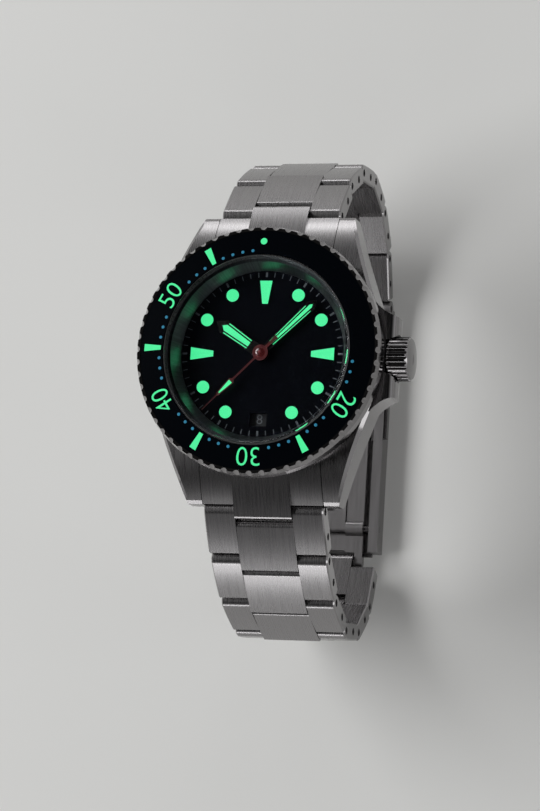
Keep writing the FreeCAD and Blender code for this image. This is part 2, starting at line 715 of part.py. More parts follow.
def hand(plan, strips, bottom, bore, angle):
    """Hand plate with a hub, its strips cut out and its bore."""
    top = bottom + HAND_THICKNESS
    body = plate(plan, bottom, top).fuse(cylinder(HUB_RADIUS, bottom, top))
    cuts = [plate(strip, bottom, top) for strip in strips]
    return turned(body.cut(cuts + [cylinder(bore, bottom, top)]), angle)


def hand_lume(strips, bottom, angle):
    """Luminous fillings of a hand."""
    top = bottom + HAND_THICKNESS
    return Part.makeCompound([turned(plate(strip, bottom, top), angle) for strip in strips])


def hour_hand():
    """Hour hand with an arrowhead."""
    plan = hand_blade(0.98, 1.12, 1.3, HUB_RADIUS * 0.6, HOUR_REACH - HOUR_ARROW, HOUR_REACH)
    return hand(plan, hour_strips(), HOUR_HAND_BOTTOM, HOUR_PIPE[1], HOUR_ANGLE)


def minute_hand():
    """Minute hand with an arrowhead."""
    plan = hand_blade(0.66, 0.84, 1.05, HUB_RADIUS * 0.6, MINUTE_REACH - MINUTE_ARROW, MINUTE_REACH)
    return hand(plan, minute_strips(), HOUR_HAND_BOTTOM + HAND_STEP, MINUTE_PIPE[1], MINUTE_ANGLE)


def seconds_hand():
    """Seconds hand: a needle with a tail and a frame round its luminous wedge."""
    low = SECONDS_LUME_START - SECONDS_FRAME
    high = SECONDS_LUME_START + SECONDS_LUME_LENGTH + 1.5 * SECONDS_FRAME
    neck = low - 1.5 * SECONDS_FRAME
    end = high + SECONDS_FRAME
    plan = [
        (-0.14, 0), (-0.14, neck), (-0.53, low), (-0.26, high), (-0.1, end), (-0.06, SECONDS_REACH),
        (0.06, SECONDS_REACH), (0.1, end), (0.26, high), (0.53, low), (0.14, neck), (0.14, 0),
        (0.3, -SECONDS_TAIL), (-0.3, -SECONDS_TAIL),
    ]
    bottom = HOUR_HAND_BOTTOM + 2 * HAND_STEP
    return hand(plan, seconds_strip(), bottom, SECONDS_ARBOR, SECONDS_ANGLE)


def hour_wheel():
    """Hour wheel under the dial and its pipe up to the hour hand."""
    wheel_low = MOVEMENT_TOP + 0.15
    pipe = ring(HOUR_PIPE[0], HOUR_PIPE[1], wheel_low, HOUR_HAND_BOTTOM + HAND_THICKNESS)
    return ring(HOUR_PIPE[0], HOUR_WHEEL_RADIUS, wheel_low, wheel_low + 0.25).fuse(pipe)


def cannon_pinion():
    """Pipe that carries the minute hand through the hour pipe."""
    top = HOUR_HAND_BOTTOM + HAND_STEP + HAND_THICKNESS
    return ring(MINUTE_PIPE[0], MINUTE_PIPE[1], MOVEMENT_TOP - 0.6, top)


def seconds_arbor():
    """Arbor that carries the seconds hand, capped by a small boss."""
    plate_top = HOUR_HAND_BOTTOM + 2 * HAND_STEP + HAND_THICKNESS
    return cylinder(SECONDS_ARBOR, MOVEMENT_TOP - 1.2, plate_top)


# ---------------------------------------------------------------- bracelet

def local_point(along, height):
    """Point in a row's own section: along from its first hinge, height outwards."""
    return Vector(0, along, height)


def side_link_section():
    """Section of a side link: round about its first hinge, crisp at its far end."""
    half = ROW_HALF_THICKNESS
    end = ROW_PITCH - half - ROW_GAP
    return outline([
        local_point(0, half),
        (local_point(end / 2, half + ROW_CROWNING), local_point(end - ROW_EDGE, half)),
        local_point(end, half - ROW_EDGE),
        local_point(end, ROW_EDGE - half),
        local_point(end - ROW_EDGE, -half),
        local_point(0, -half),
        (local_point(-half, 0), local_point(0, half)),
    ])


def centre_link_section():
    """Section of a centre link: its far end is a tongue about the next hinge."""
    half = ROW_HALF_THICKNESS
    start = half + ROW_GAP
    end = ROW_PITCH + half
    crest = half + ROW_CROWNING
    corner = half / math.sqrt(2)
    shoulder = CENTRE_SHOULDER
    shoulder_middle = shoulder * (1 - 1 / math.sqrt(2))
    return outline([
        local_point(start, -half),
        local_point(start, half - shoulder),
        (local_point(start + shoulder_middle, half - shoulder_middle), local_point(start + shoulder, half)),
        (local_point((start + shoulder + end) / 2, crest), local_point(end - ROW_EDGE, half)),
        local_point(end, half - ROW_EDGE),
        local_point(end, 0),
        (local_point(ROW_PITCH + corner, -corner), local_point(ROW_PITCH, -half)),
    ])


def spread(face, inner, outer):
    """Section extruded across X between two half widths, on the +X side."""
    body = face.extrude(Vector(outer - inner, 0, 0))
    body.translate(Vector(inner, 0, 0))
    return body


def eased_rim(body, half_width):
    """Small bevel round the outer face of a side link."""
    rim = [edge for edge in body.Edges if edge.BoundBox.XMin > half_width - ROW_EDGE / 2]
    return body.makeChamfer(ROW_EDGE, rim)


def row_solids(width):
    """The solids of one row at the origin: centre link, two side links, pivot pin, fixed pin."""
    half_width = width / 2
    half_centre = CENTRE_WIDTH / 2
    pin_half = half_width - PIN_RECESS
    fixed_pin_at = ROW_PITCH / 2
    bore = ROW_PIN_RADIUS + PIN_RUNNING_FIT
    pins = [cross_bar(ROW_PIN_RADIUS, -pin_half, pin_half, along, 0) for along in (0, fixed_pin_at)]
    centre = spread(centre_link_section(), -half_centre, half_centre)
    centre = centre.cut([cross_bar(bore, -half_centre, half_centre, ROW_PITCH, 0), pins[1]])
    side = eased_rim(spread(side_link_section(), half_centre + CENTRE_SIDE_GAP, half_width), half_width)
    holes = [cross_bar(ROW_PIN_RADIUS, 0, half_width, along, 0) for along in (0, fixed_pin_at)]
    side = side.cut(holes)
    return [centre, side, mirrored_x(side)] + pins


def row_placement(hinge, slope, sign):
    """Matrix that takes a row from the origin to its hinge; sign is +1 at 12 h, -1 at 6 h."""
    matrix = Matrix()
    matrix.rotateX(-math.radians(slope))
    if sign < 0:
        matrix.rotateZ(math.pi)
    matrix.move(Vector(0, hinge[0], hinge[1]))
    return matrix


def hinge_chain(slopes, sign):
    """Hinge points (y, z) from the end link along one half of the bracelet."""
    points = [(sign * FIRST_HINGE_Y, FIRST_HINGE_Z)]
    for slope in slopes:
        y, z = points[-1]
        angle = math.radians(slope)
        points.append((y + sign * ROW_PITCH * math.cos(angle), z - ROW_PITCH * math.sin(angle)))
    return points


def all_slopes_6h():
    """6 h slopes, with the last row's slope set so that both halves end at one height."""
    bottom = hinge_chain(SLOPES_12H, 1)[-1][1]
    last = hinge_chain(SLOPES_6H, -1)[-1][1]
    return SLOPES_6H + (180.0 - math.degrees(math.asin((last - bottom) / ROW_PITCH)),)


def bracelet_row(index, slopes, sign):
    """One row of the bracelet in its place."""
    hinge = hinge_chain(slopes, sign)[index]
    matrix = row_placement(hinge, slopes[index], sign)
    solids = row_solids(ROW_WIDTH - index * ROW_TAPER)
    return Part.makeCompound([solid.transformed(matrix) for solid in solids])


def end_link(sign):
    """End link: fills the space between the lugs and carries the first tongue."""
    half_width = LUG_SPACING / 2 - END_LINK_GAP
    half = ROW_HALF_THICKNESS
    tip = LUG_TO_LUG / 2
    inner_y = BARREL_RADIUS - 3
    far_y = FIRST_HINGE_Y + half
    far_z = FIRST_HINGE_Z + half
    corner = half / math.sqrt(2)
    inner_z = lug_top_height(inner_y)
    side_middle_y = (inner_y + tip) / 2
    side_face = outline([
        Vector(0, inner_y, END_LINK_BOTTOM),
        Vector(0, inner_y, inner_z),
        (Vector(0, side_middle_y, lug_top_height(side_middle_y)), Vector(0, tip, lug_top_height(tip))),
        Vector(0, tip, END_LINK_BOTTOM),
    ])
    crest_y = (inner_y + far_y) / 2
    crest_z = (inner_z + far_z) / 2 + END_LINK_CREST
    centre_face = outline([
        Vector(0, inner_y, END_LINK_BOTTOM),
        Vector(0, inner_y, inner_z),
        (Vector(0, crest_y, crest_z), Vector(0, far_y - ROW_EDGE, far_z)),
        Vector(0, far_y, far_z - ROW_EDGE),
        Vector(0, far_y, FIRST_HINGE_Z),
        (Vector(0, FIRST_HINGE_Y + corner, FIRST_HINGE_Z - corner),
         Vector(0, FIRST_HINGE_Y, FIRST_HINGE_Z - half)),
        Vector(0, FIRST_HINGE_Y - half, END_LINK_BOTTOM),
    ])
    half_centre = CENTRE_WIDTH / 2
    seat = cross_bar(half + ROW_GAP, -half_width, half_width, FIRST_HINGE_Y, FIRST_HINGE_Z)
    sides = spread(side_face, -half_width, half_width).cut(seat)
    body = sides.fuse(spread(centre_face, -half_centre, half_centre)).removeSplitter()
    body = body.cut([
        cylinder(BARREL_RADIUS + END_LINK_GAP, 0, CASE_TOP + 1),
        cross_bar(LUG_BAR_RADIUS + PIN_RUNNING_FIT, -half_width, half_width, LUG_BAR_Y, LUG_BAR_Z),
        cross_bar(ROW_PIN_RADIUS + PIN_RUNNING_FIT, -half_centre, half_centre,
                  FIRST_HINGE_Y, FIRST_HINGE_Z),
    ])
    return body if sign > 0 else mirrored_y(body)


def lug_spring_bars():
    """The two spring bars that hold the end links between the lugs."""
    half = LUG_SPACING / 2 + LUG_BAR_REACH
    return Part.makeCompound([
        cross_bar(LUG_BAR_RADIUS, -half, half, sign * LUG_BAR_Y, LUG_BAR_Z) for sign in (1, -1)
    ])


# ---------------------------------------------------------------- clasp

def clasp_ends():
    """(y at 6 h, y at 12 h, z) of the clasp's two end pivots, which are level."""
    end_12h = hinge_chain(SLOPES_12H, 1)[-1]
    end_6h = hinge_chain(all_slopes_6h(), -1)[-1]
    return end_6h[0], end_12h[0], end_12h[1]


def fold_joint_y():
    """Y of the joint between the two blades."""
    return clasp_ends()[1] - CLASP_JOINT_INSET


def cover_joint_y():
    """Y of the joint between the first blade and the cover."""
    return fold_joint_y() - CLASP_FOLD_LENGTH


def blade_strip(x_low, x_high, y_low, y_high):
    """Flat strip with a round end about each of its two pivots."""
    z = clasp_ends()[2]
    half = BLADE_THICKNESS / 2
    face = outline([
        Vector(x_low, y_low, z - half),
        Vector(x_low, y_high, z - half),
        (Vector(x_low, y_high + half, z), Vector(x_low, y_high, z + half)),
        Vector(x_low, y_low, z + half),
        (Vector(x_low, y_low - half, z), Vector(x_low, y_low, z - half)),
    ])
    return face.extrude(Vector(x_high - x_low, 0, 0))


def clasp_blade_1():
    """Middle blade, from the fold joint back to the cover's joint."""
    z = clasp_ends()[2]
    half_width = BLADE_1_HALF_WIDTH
    body = blade_strip(-half_width, half_width, cover_joint_y(), fold_joint_y())
    bore = CLASP_PIN_RADIUS + PIN_RUNNING_FIT
    slot = box((-1.0, cover_joint_y() + 3, z - BLADE_THICKNESS), (1.0, fold_joint_y() - 3, z + BLADE_THICKNESS))
    return body.cut([
        slot,
        cross_bar(bore, -half_width, half_width, cover_joint_y(), z),
        cross_bar(bore, -half_width, half_width, fold_joint_y(), z),
    ])


def clasp_blade_2():
    """Forked blade, from the fold joint to the last 6 h row, notched for the cover's pin."""
    y_6h, _, z = clasp_ends()
    inner = BLADE_2_INNER
    outer = BLADE_2_OUTER
    tongue_half = CENTRE_WIDTH / 2 + BLADE_GAP
    tongue_reach = ROW_HALF_THICKNESS + 2 * ROW_GAP
    half = BLADE_THICKNESS / 2
    arm = blade_strip(inner, outer, y_6h, fold_joint_y())
    tongue_room = box((0, y_6h - tongue_reach, z - 2), (tongue_half, y_6h + tongue_reach, z + 2))
    notch_half = CLASP_PIN_RADIUS + BLADE_GAP
    notch = box((0, cover_joint_y() - notch_half, z - 2), (outer + 1, cover_joint_y() + notch_half, z))
    notch_top = cross_bar(notch_half, 0, outer + 1, cover_joint_y(), z)
    hump = cross_bar(notch_half + BLADE_HUMP, inner, outer, cover_joint_y(), z)
    hump = hump.cut(box((0, y_6h, z - 2), (outer + 1, fold_joint_y(), z)))
    arm = arm.fuse(hump).cut([tongue_room, notch, notch_top])
    bridge_low = y_6h + tongue_reach + 0.3
    bridge_half = (inner + outer) / 2
    bridge = box((-bridge_half, bridge_low, z - half), (bridge_half, bridge_low + 2.5, z + half))
    end_bore = CLASP_PIN_RADIUS
    bores = [
        cross_bar(end_bore, -outer, outer, y_6h, z),
        cross_bar(end_bore, -outer, outer, fold_joint_y(), z),
    ]
    return arm.fuse([mirrored_x(arm), bridge]).cut(bores).removeSplitter()


def clasp_fold_pin():
    """Pin of the fold joint, fixed in the forked blade."""
    return cross_bar(CLASP_PIN_RADIUS, -BLADE_2_OUTER, BLADE_2_OUTER, fold_joint_y(), clasp_ends()[2])


def clasp_spring_bar_6h():
    """Spring bar through the last 6 h row, fixed in the forked blade."""
    y_6h, _, z = clasp_ends()
    return cross_bar(CLASP_PIN_RADIUS, -BLADE_2_OUTER, BLADE_2_OUTER, y_6h, z)


def clasp_spring_bar_12h():
    """Spring bar in the last 12 h row, its tips drawn in."""
    _, y_12h, z = clasp_ends()
    half = CENTRE_WIDTH / 2 - 0.1
    return cross_bar(CLASP_PIN_RADIUS, -half, half, y_12h, z)


def cover_levels():
    """Heights of the cover's inner and outer faces."""
    inner = clasp_ends()[2] - BLADE_THICKNESS / 2 - BLADE_GAP
    return inner, inner - COVER_THICKNESS


def flap_axis():
    """(y, z) of the safety flap's hinge."""
    outer = cover_levels()[1]
    return cover_joint_y() - COVER_TAIL + FLAP_HINGE_INSET, outer + FLAP_BARREL_RADIUS


def button_place():
    """(y, z) of the middle of the release buttons."""
    return cover_joint_y() - COVER_TAIL + BUTTON_INSET, clasp_ends()[2]


def clasp_cover():
    """Outer shell: floor, two walls, ears for the 12 h end and a bed for the safety flap."""
    _, y_12h, z = clasp_ends()
    inner, outer = cover_levels()
    start = cover_joint_y() - COVER_TAIL
    floor_end = y_12h - ROW_HALF_THICKNESS - COVER_END_GAP
    half = COVER_HALF_WIDTH
    wall_inner = half - COVER_WALL
    wall_top = z + COVER_WALL_RISE
    floor = box((-half, start, outer), (half, floor_end, inner))
    wall = box((wall_inner, start, inner), (half, y_12h, wall_top))
    ear_inner = CENTRE_WIDTH / 2 + BLADE_GAP
    ear = cross_bar(EAR_RADIUS, ear_inner, half, y_12h, z)
    ear_root = box((ear_inner, floor_end - 2, outer), (half, y_12h, wall_top))
    ear_root = ear_root.cut(box((ear_inner, floor_end - 3, z - EAR_RADIUS), (wall_inner, floor_end, wall_top)))
    side = wall.fuse([ear, ear_root])
    side = side.cut(box((0, y_12h, outer - 1), (half, y_12h + EAR_RADIUS, z - EAR_RADIUS)))
    hinge_y, hinge_z = flap_axis()
    bed_half = FLAP_HALF_WIDTH + BLADE_GAP
    bed_depth = FLAP_THICKNESS + BLADE_GAP
    trough = FLAP_BARREL_RADIUS + 0.1
    button_y, button_z = button_place()
    slot_half = BUTTON_LENGTH / 2 + PIN_RUNNING_FIT
    slot_rise = BUTTON_HEIGHT / 2 + PIN_RUNNING_FIT
    pin_half = bed_half + 0.8
    body = floor.fuse([side, mirrored_x(side)])
    return body.cut([
        box((-bed_half, start - 1, outer - 1), (bed_half, hinge_y, outer + bed_depth)),
        cross_bar(trough, -bed_half, bed_half, hinge_y, hinge_z),
        box((-bed_half, hinge_y, outer - 1), (bed_half, hinge_y + trough, hinge_z)),
        cross_bar(FLAP_PIN_RADIUS, -pin_half, pin_half, hinge_y, hinge_z),
        cross_bar(CLASP_PIN_RADIUS, -half, half, cover_joint_y(), z),
        cross_bar(CLASP_PIN_RADIUS, ear_inner, half, y_12h, z),
        cross_bar(CLASP_PIN_RADIUS, -half, -ear_inner, y_12h, z),
        box((-half - 1, button_y - slot_half, button_z - slot_rise),
            (half + 1, button_y + slot_half, button_z + slot_rise)),
    ]).removeSplitter()


def clasp_cover_pin():
    """Pin that joins the cover to the middle blade, fixed in the cover's walls."""
    return cross_bar(CLASP_PIN_RADIUS, -COVER_HALF_WIDTH, COVER_HALF_WIDTH, cover_joint_y(), clasp_ends()[2])


def safety_flap():
    """Flip lock that lies flush in the cover's bed, hinged on a barrel."""
    hinge_y, hinge_z = flap_axis()
    outer = cover_levels()[1]
    half = FLAP_HALF_WIDTH
    leaf = box((-half, hinge_y - FLAP_LENGTH, outer), (half, hinge_y, outer + FLAP_THICKNESS))
    barrel = cross_bar(FLAP_BARREL_RADIUS, -half, half, hinge_y, hinge_z)
    thumb_cut = cross_bar(1.0, -half / 2, half / 2, hinge_y - FLAP_LENGTH, outer - 0.5)
    bore = cross_bar(FLAP_PIN_RADIUS + PIN_RUNNING_FIT, -half, half, hinge_y, hinge_z)
    return leaf.fuse(barrel).cut([bore, thumb_cut]).removeSplitter()


def safety_flap_pin():
    """Pin of the safety flap, fixed in the cover."""
    hinge_y, hinge_z = flap_axis()
    half = FLAP_HALF_WIDTH + BLADE_GAP + 0.8
    return cross_bar(FLAP_PIN_RADIUS, -half, half, hinge_y, hinge_z)


def release_button(sign):
    """Push button in one wall of the cover, with a flange inside that keeps it in."""
    y, z = button_place()
    wall_inner = COVER_HALF_WIDTH - COVER_WALL
    outer_x = COVER_HALF_WIDTH + BUTTON_PROUD
    half = BUTTON_LENGTH / 2
    rise = BUTTON_HEIGHT / 2
    flange_x = wall_inner - PIN_RUNNING_FIT
    shank = box((flange_x, y - half, z - rise), (outer_x, y + half, z + rise))
    flange = box((flange_x - BUTTON_FLANGE, y - half - 0.4, z - rise), (flange_x, y + half + 0.4, z + rise))
    body = shank.fuse(flange).removeSplitter()
    return body if sign > 0 else mirrored_x(body)


# ---------------------------------------------------------------- all nodes

def bracelet_nodes():
    """Both halves of the bracelet, row by row."""
    nodes = {}
    for index in range(len(SLOPES_12H)):
        nodes["link_12h_%d" % (index + 1)] = bracelet_row(index, SLOPES_12H, 1)
    slopes_6h = all_slopes_6h()
    for index in range(len(slopes_6h)):
        nodes["link_6h_%d" % (index + 1)] = bracelet_row(index, slopes_6h, -1)
    return nodes


def case_nodes():
    """Everything in and on the watch head."""
    return {
        "mid_case": mid_case(),
        "case_back": case_back(),
        "case_back_gasket": case_back_gasket(),
        "crystal": crystal(),
        "crystal_gasket": crystal_gasket(),
        "rehaut_ring": rehaut_ring(),
        "dial": dial(),
        "hour_markers": hour_markers(),
        "date_disc": date_disc(),
        "movement": movement(),
        "movement_holder": movement_holder(),
        "rotor": rotor(),
        "crown_tube": crown_tube(),
        "crown": crown(),
        "winding_stem": winding_stem(),
        "setting_lever": setting_lever(),
        "bezel": bezel(),
        "bezel_insert": bezel_insert(),
        "bezel_markers": bezel_markers(),
        "bezel_click_spring": bezel_click_spring(),
        "bezel_gasket": bezel_gasket_shape(),
    }


def hand_nodes():
    """The three hands with their lume and the pipes that carry them."""
    minute_bottom = HOUR_HAND_BOTTOM + HAND_STEP
    seconds_bottom = HOUR_HAND_BOTTOM + 2 * HAND_STEP
    return {
        "hour_hand": hour_hand(),
        "hour_hand_lume": hand_lume(hour_strips(), HOUR_HAND_BOTTOM, HOUR_ANGLE),
        "hour_wheel": hour_wheel(),
        "minute_hand": minute_hand(),
        "minute_hand_lume": hand_lume(minute_strips(), minute_bottom, MINUTE_ANGLE),
        "cannon_pinion": cannon_pinion(),
        "seconds_hand": seconds_hand(),
        "seconds_hand_lume": hand_lume(seconds_strip(), seconds_bottom, SECONDS_ANGLE),
        "seconds_arbor": seconds_arbor(),
    }


def clasp_nodes():
    """End links, lug bars and the folding clasp."""
    return {
        "end_link_12h": end_link(1),
        "end_link_6h": end_link(-1),
        "lug_spring_bars": lug_spring_bars(),
        "clasp_cover": clasp_cover(),
        "clasp_cover_pin": clasp_cover_pin(),
        "clasp_blade_1": clasp_blade_1(),
        "clasp_fold_pin": clasp_fold_pin(),
        "clasp_blade_2": clasp_blade_2(),
        "clasp_spring_bar_6h": clasp_spring_bar_6h(),
        "clasp_spring_bar_12h": clasp_spring_bar_12h(),
        "safety_flap": safety_flap(),
        "safety_flap_pin": safety_flap_pin(),
        "release_button_right": release_button(1),
        "release_button_left": release_button(-1),
    }


def main():
    """Write one STEP file per node."""
    os.makedirs("parts", exist_ok=True)
    nodes = {**case_nodes(), **hand_nodes(), **bracelet_nodes(), **clasp_nodes()}
    for name, shape in nodes.items():
        shape.exportStep("parts/%s.step" % name)
        print("%-24s solids %2d valid %s volume %.2f" % (
            name, len(shape.Solids), shape.isValid(), shape.Volume))


main()
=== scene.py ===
import math

import bpy
import numpy as np
from bpy.props import FloatProperty, FloatVectorProperty, PointerProperty
from mathutils import Matrix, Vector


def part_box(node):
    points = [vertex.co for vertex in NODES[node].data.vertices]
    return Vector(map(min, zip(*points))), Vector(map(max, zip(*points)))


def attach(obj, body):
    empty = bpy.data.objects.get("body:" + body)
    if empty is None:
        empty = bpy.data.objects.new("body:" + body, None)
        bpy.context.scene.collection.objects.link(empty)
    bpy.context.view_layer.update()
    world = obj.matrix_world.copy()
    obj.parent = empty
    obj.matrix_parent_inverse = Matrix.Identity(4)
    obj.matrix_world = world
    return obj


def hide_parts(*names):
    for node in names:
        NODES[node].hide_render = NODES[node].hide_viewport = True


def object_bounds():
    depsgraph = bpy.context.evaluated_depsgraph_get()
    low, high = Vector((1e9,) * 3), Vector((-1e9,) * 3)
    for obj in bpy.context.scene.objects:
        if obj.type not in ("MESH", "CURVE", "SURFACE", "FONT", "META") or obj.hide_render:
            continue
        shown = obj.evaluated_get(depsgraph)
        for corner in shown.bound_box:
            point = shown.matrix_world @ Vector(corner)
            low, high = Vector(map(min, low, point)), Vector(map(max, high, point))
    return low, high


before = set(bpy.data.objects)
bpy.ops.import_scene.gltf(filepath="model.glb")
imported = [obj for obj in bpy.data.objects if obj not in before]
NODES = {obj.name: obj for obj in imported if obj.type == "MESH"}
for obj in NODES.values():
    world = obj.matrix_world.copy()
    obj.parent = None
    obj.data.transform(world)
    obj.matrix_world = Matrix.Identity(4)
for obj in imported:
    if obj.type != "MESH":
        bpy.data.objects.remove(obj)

# Finishes, printing and studio for a dive watch on a link bracelet.
# Lengths are in metres in the mesh code; names that end in _mm hold millimetres.

bl_info = {
    "name": "Dive watch finishes",
    "version": (1, 0, 0),
    "blender": (4, 5, 0),
    "location": "3D Viewport > Sidebar > Dive watch",
    "description": "Gives a dive watch its steel, glass, luminous and printed finishes and a studio",
    "category": "Material",
}

MM = 0.001
CAD_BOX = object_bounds()

# bezel: how far it is turned clockwise of the dial, in degrees, and where its printing sits
BEZEL_SETTING = 0.8
INSERT_INNER = 15.3 * MM
INSERT_FALL = 0.45 * MM
NUMERAL_RADIUS = 17.0 * MM
MINUTE_DOT_RADIUS = 15.85 * MM
MINUTE_DOT_CROWN = 0.03 * MM

# dial: outer end of the minute ticks, middle of the dates, thickness of printed ink
TRACK_RADIUS = 13.15 * MM
DATE_RADIUS = 10.35 * MM
INK_THICKNESS = 0.01 * MM
DATE_INK_THICKNESS = 0.008 * MM
INK_LIFT = 0.006 * MM
TICK_THICKNESS = 0.012 * MM
HOUR_TICK_HALF_WIDTH = 0.16 * MM
TICK_HALF_WIDTH = 0.07 * MM
SHOWN_DATE = 8

# hands: diameter and crown of the cap on the hub
HUB_DIAMETER = 1.5 * MM
HUB_CROWN = 0.12 * MM

# crystal: the ground bevel and the sides of its circle
CRYSTAL_BEVEL = 0.18 * MM
CRYSTAL_SIDES = 256

# minutes of the insert with no dot: the bare first quarter, and beside numerals and inlays
MINUTES_WITHOUT_DOT = set(range(16)) | {19, 20, 21, 25, 29, 30, 31, 35, 39, 40, 41, 45, 49, 50, 51, 55}
BEZEL_NUMERALS = (20, 30, 40, 50)


def linear(hex_value):
    """sRGB hex to linear red, green and blue: each channel through the sRGB curve."""
    channels = [int(hex_value[i:i + 2], 16) / 255 for i in (1, 3, 5)]
    return tuple(c / 12.92 if c <= 0.04045 else ((c + 0.055) / 1.055) ** 2.4 for c in channels)


def node_top(node):
    """Height of a CAD node's highest point."""
    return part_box(node)[1].z


# ---------------------------------------------------------------- settings

class WatchSteelSettings(bpy.types.PropertyGroup):
    """Colours and grain of the steel."""
    steel: FloatVectorProperty(
        name="Steel", description="Colour of the 316L steel", subtype="COLOR",
        default=linear("#8F8D8E"), min=0, max=1)
    grain: FloatProperty(
        name="Brush line spacing", description="Distance between brush lines across the grain",
        default=0.16 * MM, min=0.02 * MM, max=2 * MM, subtype="DISTANCE", unit="LENGTH", precision=5)
    brushed_roughness: FloatProperty(
        name="Brushed roughness", description="Roughness of the brushed faces",
        default=0.27, min=0.02, max=1, subtype="FACTOR")
    stretch: FloatProperty(
        name="Highlight stretch", description="How far the brush lines stretch a highlight across themselves",
        default=0.5, min=0, max=1, subtype="FACTOR")
    polished_roughness: FloatProperty(
        name="Polished roughness", description="Roughness of the polished flanks and bevels",
        default=0.07, min=0.02, max=1, subtype="FACTOR")


class WatchDialSettings(bpy.types.PropertyGroup):
    """Dial, hands and luminous paint."""
    dial: FloatVectorProperty(
        name="Dial", description="Colour of the dial lacquer", subtype="COLOR",
        default=linear("#020307"), min=0, max=1)
    lume: FloatVectorProperty(
        name="Lume", description="Colour of the glow", subtype="COLOR",
        default=linear("#4CF79F"), min=0, max=1)
    lume_body: FloatVectorProperty(
        name="Lume pigment", description="Colour of the luminous paint under light", subtype="COLOR",
        default=linear("#24583F"), min=0, max=1)
    lume_strength: FloatProperty(
        name="Lume strength", description="How strongly the luminous paint glows", default=0.88, min=0, max=5)
    ink: FloatVectorProperty(
        name="Print", description="Colour of the minute track and the dates", subtype="COLOR",
        default=linear("#3C4146"), min=0, max=1)
    seconds_red: FloatVectorProperty(
        name="Seconds hand", description="Colour of the seconds hand's lacquer", subtype="COLOR",
        default=linear("#40090A"), min=0, max=1)
    tick_length: FloatProperty(
        name="Minute tick length", description="Length of the printed minute ticks",
        default=0.8 * MM, min=0.1 * MM, max=3 * MM, subtype="DISTANCE", unit="LENGTH", precision=5)
    date_height: FloatProperty(
        name="Date height", description="Height of the printed dates",
        default=1.5 * MM, min=0.5 * MM, max=3 * MM, subtype="DISTANCE", unit="LENGTH", precision=5)


class WatchBezelSettings(bpy.types.PropertyGroup):
    """Insert of the turning bezel and what is printed on it."""
    insert: FloatVectorProperty(
        name="Insert", description="Colour of the insert", subtype="COLOR",
        default=linear("#04060A"), min=0, max=1)
    minute_blue: FloatVectorProperty(
        name="Minute dots", description="Colour of the minute dots", subtype="COLOR",
        default=linear("#2B7FA0"), min=0, max=1)
    numeral_height: FloatProperty(
        name="Numeral height", description="Height of the numerals on the insert",
        default=2.9 * MM, min=1 * MM, max=3.3 * MM, subtype="DISTANCE", unit="LENGTH", precision=5)
    numeral_width: FloatProperty(
        name="Numeral width", description="Width of a pair of digits on the insert",
        default=3.75 * MM, min=1 * MM, max=6 * MM, subtype="DISTANCE", unit="LENGTH", precision=5)
    dot_diameter: FloatProperty(
        name="Minute dot diameter", description="Diameter of the minute dots",
        default=0.5 * MM, min=0.1 * MM, max=1 * MM, subtype="DISTANCE", unit="LENGTH", precision=5)


class WatchStudioSettings(bpy.types.PropertyGroup):
    """Floor, background and lamps."""
    floor: FloatVectorProperty(
        name="Floor", description="Colour of the floor", subtype="COLOR",
        default=linear("#E4E4E2"), min=0, max=1)
    key_power: FloatProperty(
        name="Key lamp", description="Power of the large soft lamp beyond 9 o'clock",
        default=12.5, min=0, max=100)
    strip_power: FloatProperty(
        name="Strip lamps", description="Power of each low strip beyond 12 and before 6 o'clock",
        default=1.3, min=0, max=100)
    side_power: FloatProperty(
        name="Side lamp", description="Power of the small lamp beyond the crown",
        default=0.35, min=0, max=100)
    ceiling: FloatProperty(
        name="Ceiling level", description="Brightness of the studio's dark ceiling",
        default=0.015, min=0, max=2)
    walls: FloatProperty(
        name="Wall level", description="Brightness of the studio's walls", default=0.6, min=0, max=2)


def settings(name):
    """The scene's settings of one group."""
    return getattr(bpy.context.scene, name)


# ---------------------------------------------------------------- materials

def add(tree, kind, values=None, links=None, **properties):
    """Adds one shader node with its properties, its input values and the sockets that feed it."""
    node = tree.nodes.new(kind)
    for name, value in properties.items():
        setattr(node, name, value)
    for name, value in (values or {}).items():
        node.inputs[name].default_value = value
    for name, socket in (links or {}).items():
        tree.links.new(socket, node.inputs[name])
    return node


def material(name):
    """An empty node material and its tree, with the output node."""
    made = bpy.data.materials.new(name)
    made.use_nodes = True
    tree = made.node_tree
    tree.nodes.clear()
    output = tree.nodes.new("ShaderNodeOutputMaterial")
    return made, tree, output


def opaque(colour):
    """Colour with full alpha."""
    return tuple(colour) + (1.0,)


def across_x(tree):
    """0 on faces that look up, down or along the bracelet, 1 on faces that look sideways."""
    coords = add(tree, "ShaderNodeTexCoord")
    parts = add(tree, "ShaderNodeSeparateXYZ", links={0: coords.outputs["Normal"]})
    size = add(tree, "ShaderNodeMath", links={0: parts.outputs["X"]}, operation="ABSOLUTE")
    return add(tree, "ShaderNodeMapRange", values={"From Min": 0.3, "From Max": 0.45},
               links={"Value": size.outputs[0]}, interpolation_type="SMOOTHSTEP").outputs[0]


def turned_coordinates(tree, spacing):
    """Lathe coordinates: the place in the dial's plane, and one that only changes with the radius."""
    coords = add(tree, "ShaderNodeTexCoord")
    flat = add(tree, "ShaderNodeVectorMath", values={1: (1, 1, 0)},
               links={0: coords.outputs["Object"]}, operation="MULTIPLY").outputs[0]
    radius = add(tree, "ShaderNodeVectorMath", links={0: flat}, operation="LENGTH")
    turns = add(tree, "ShaderNodeMath", values={1: 1 / spacing}, links={0: radius.outputs["Value"]},
                operation="MULTIPLY")
    return flat, add(tree, "ShaderNodeCombineXYZ", links={"X": turns.outputs[0]}).outputs[0]


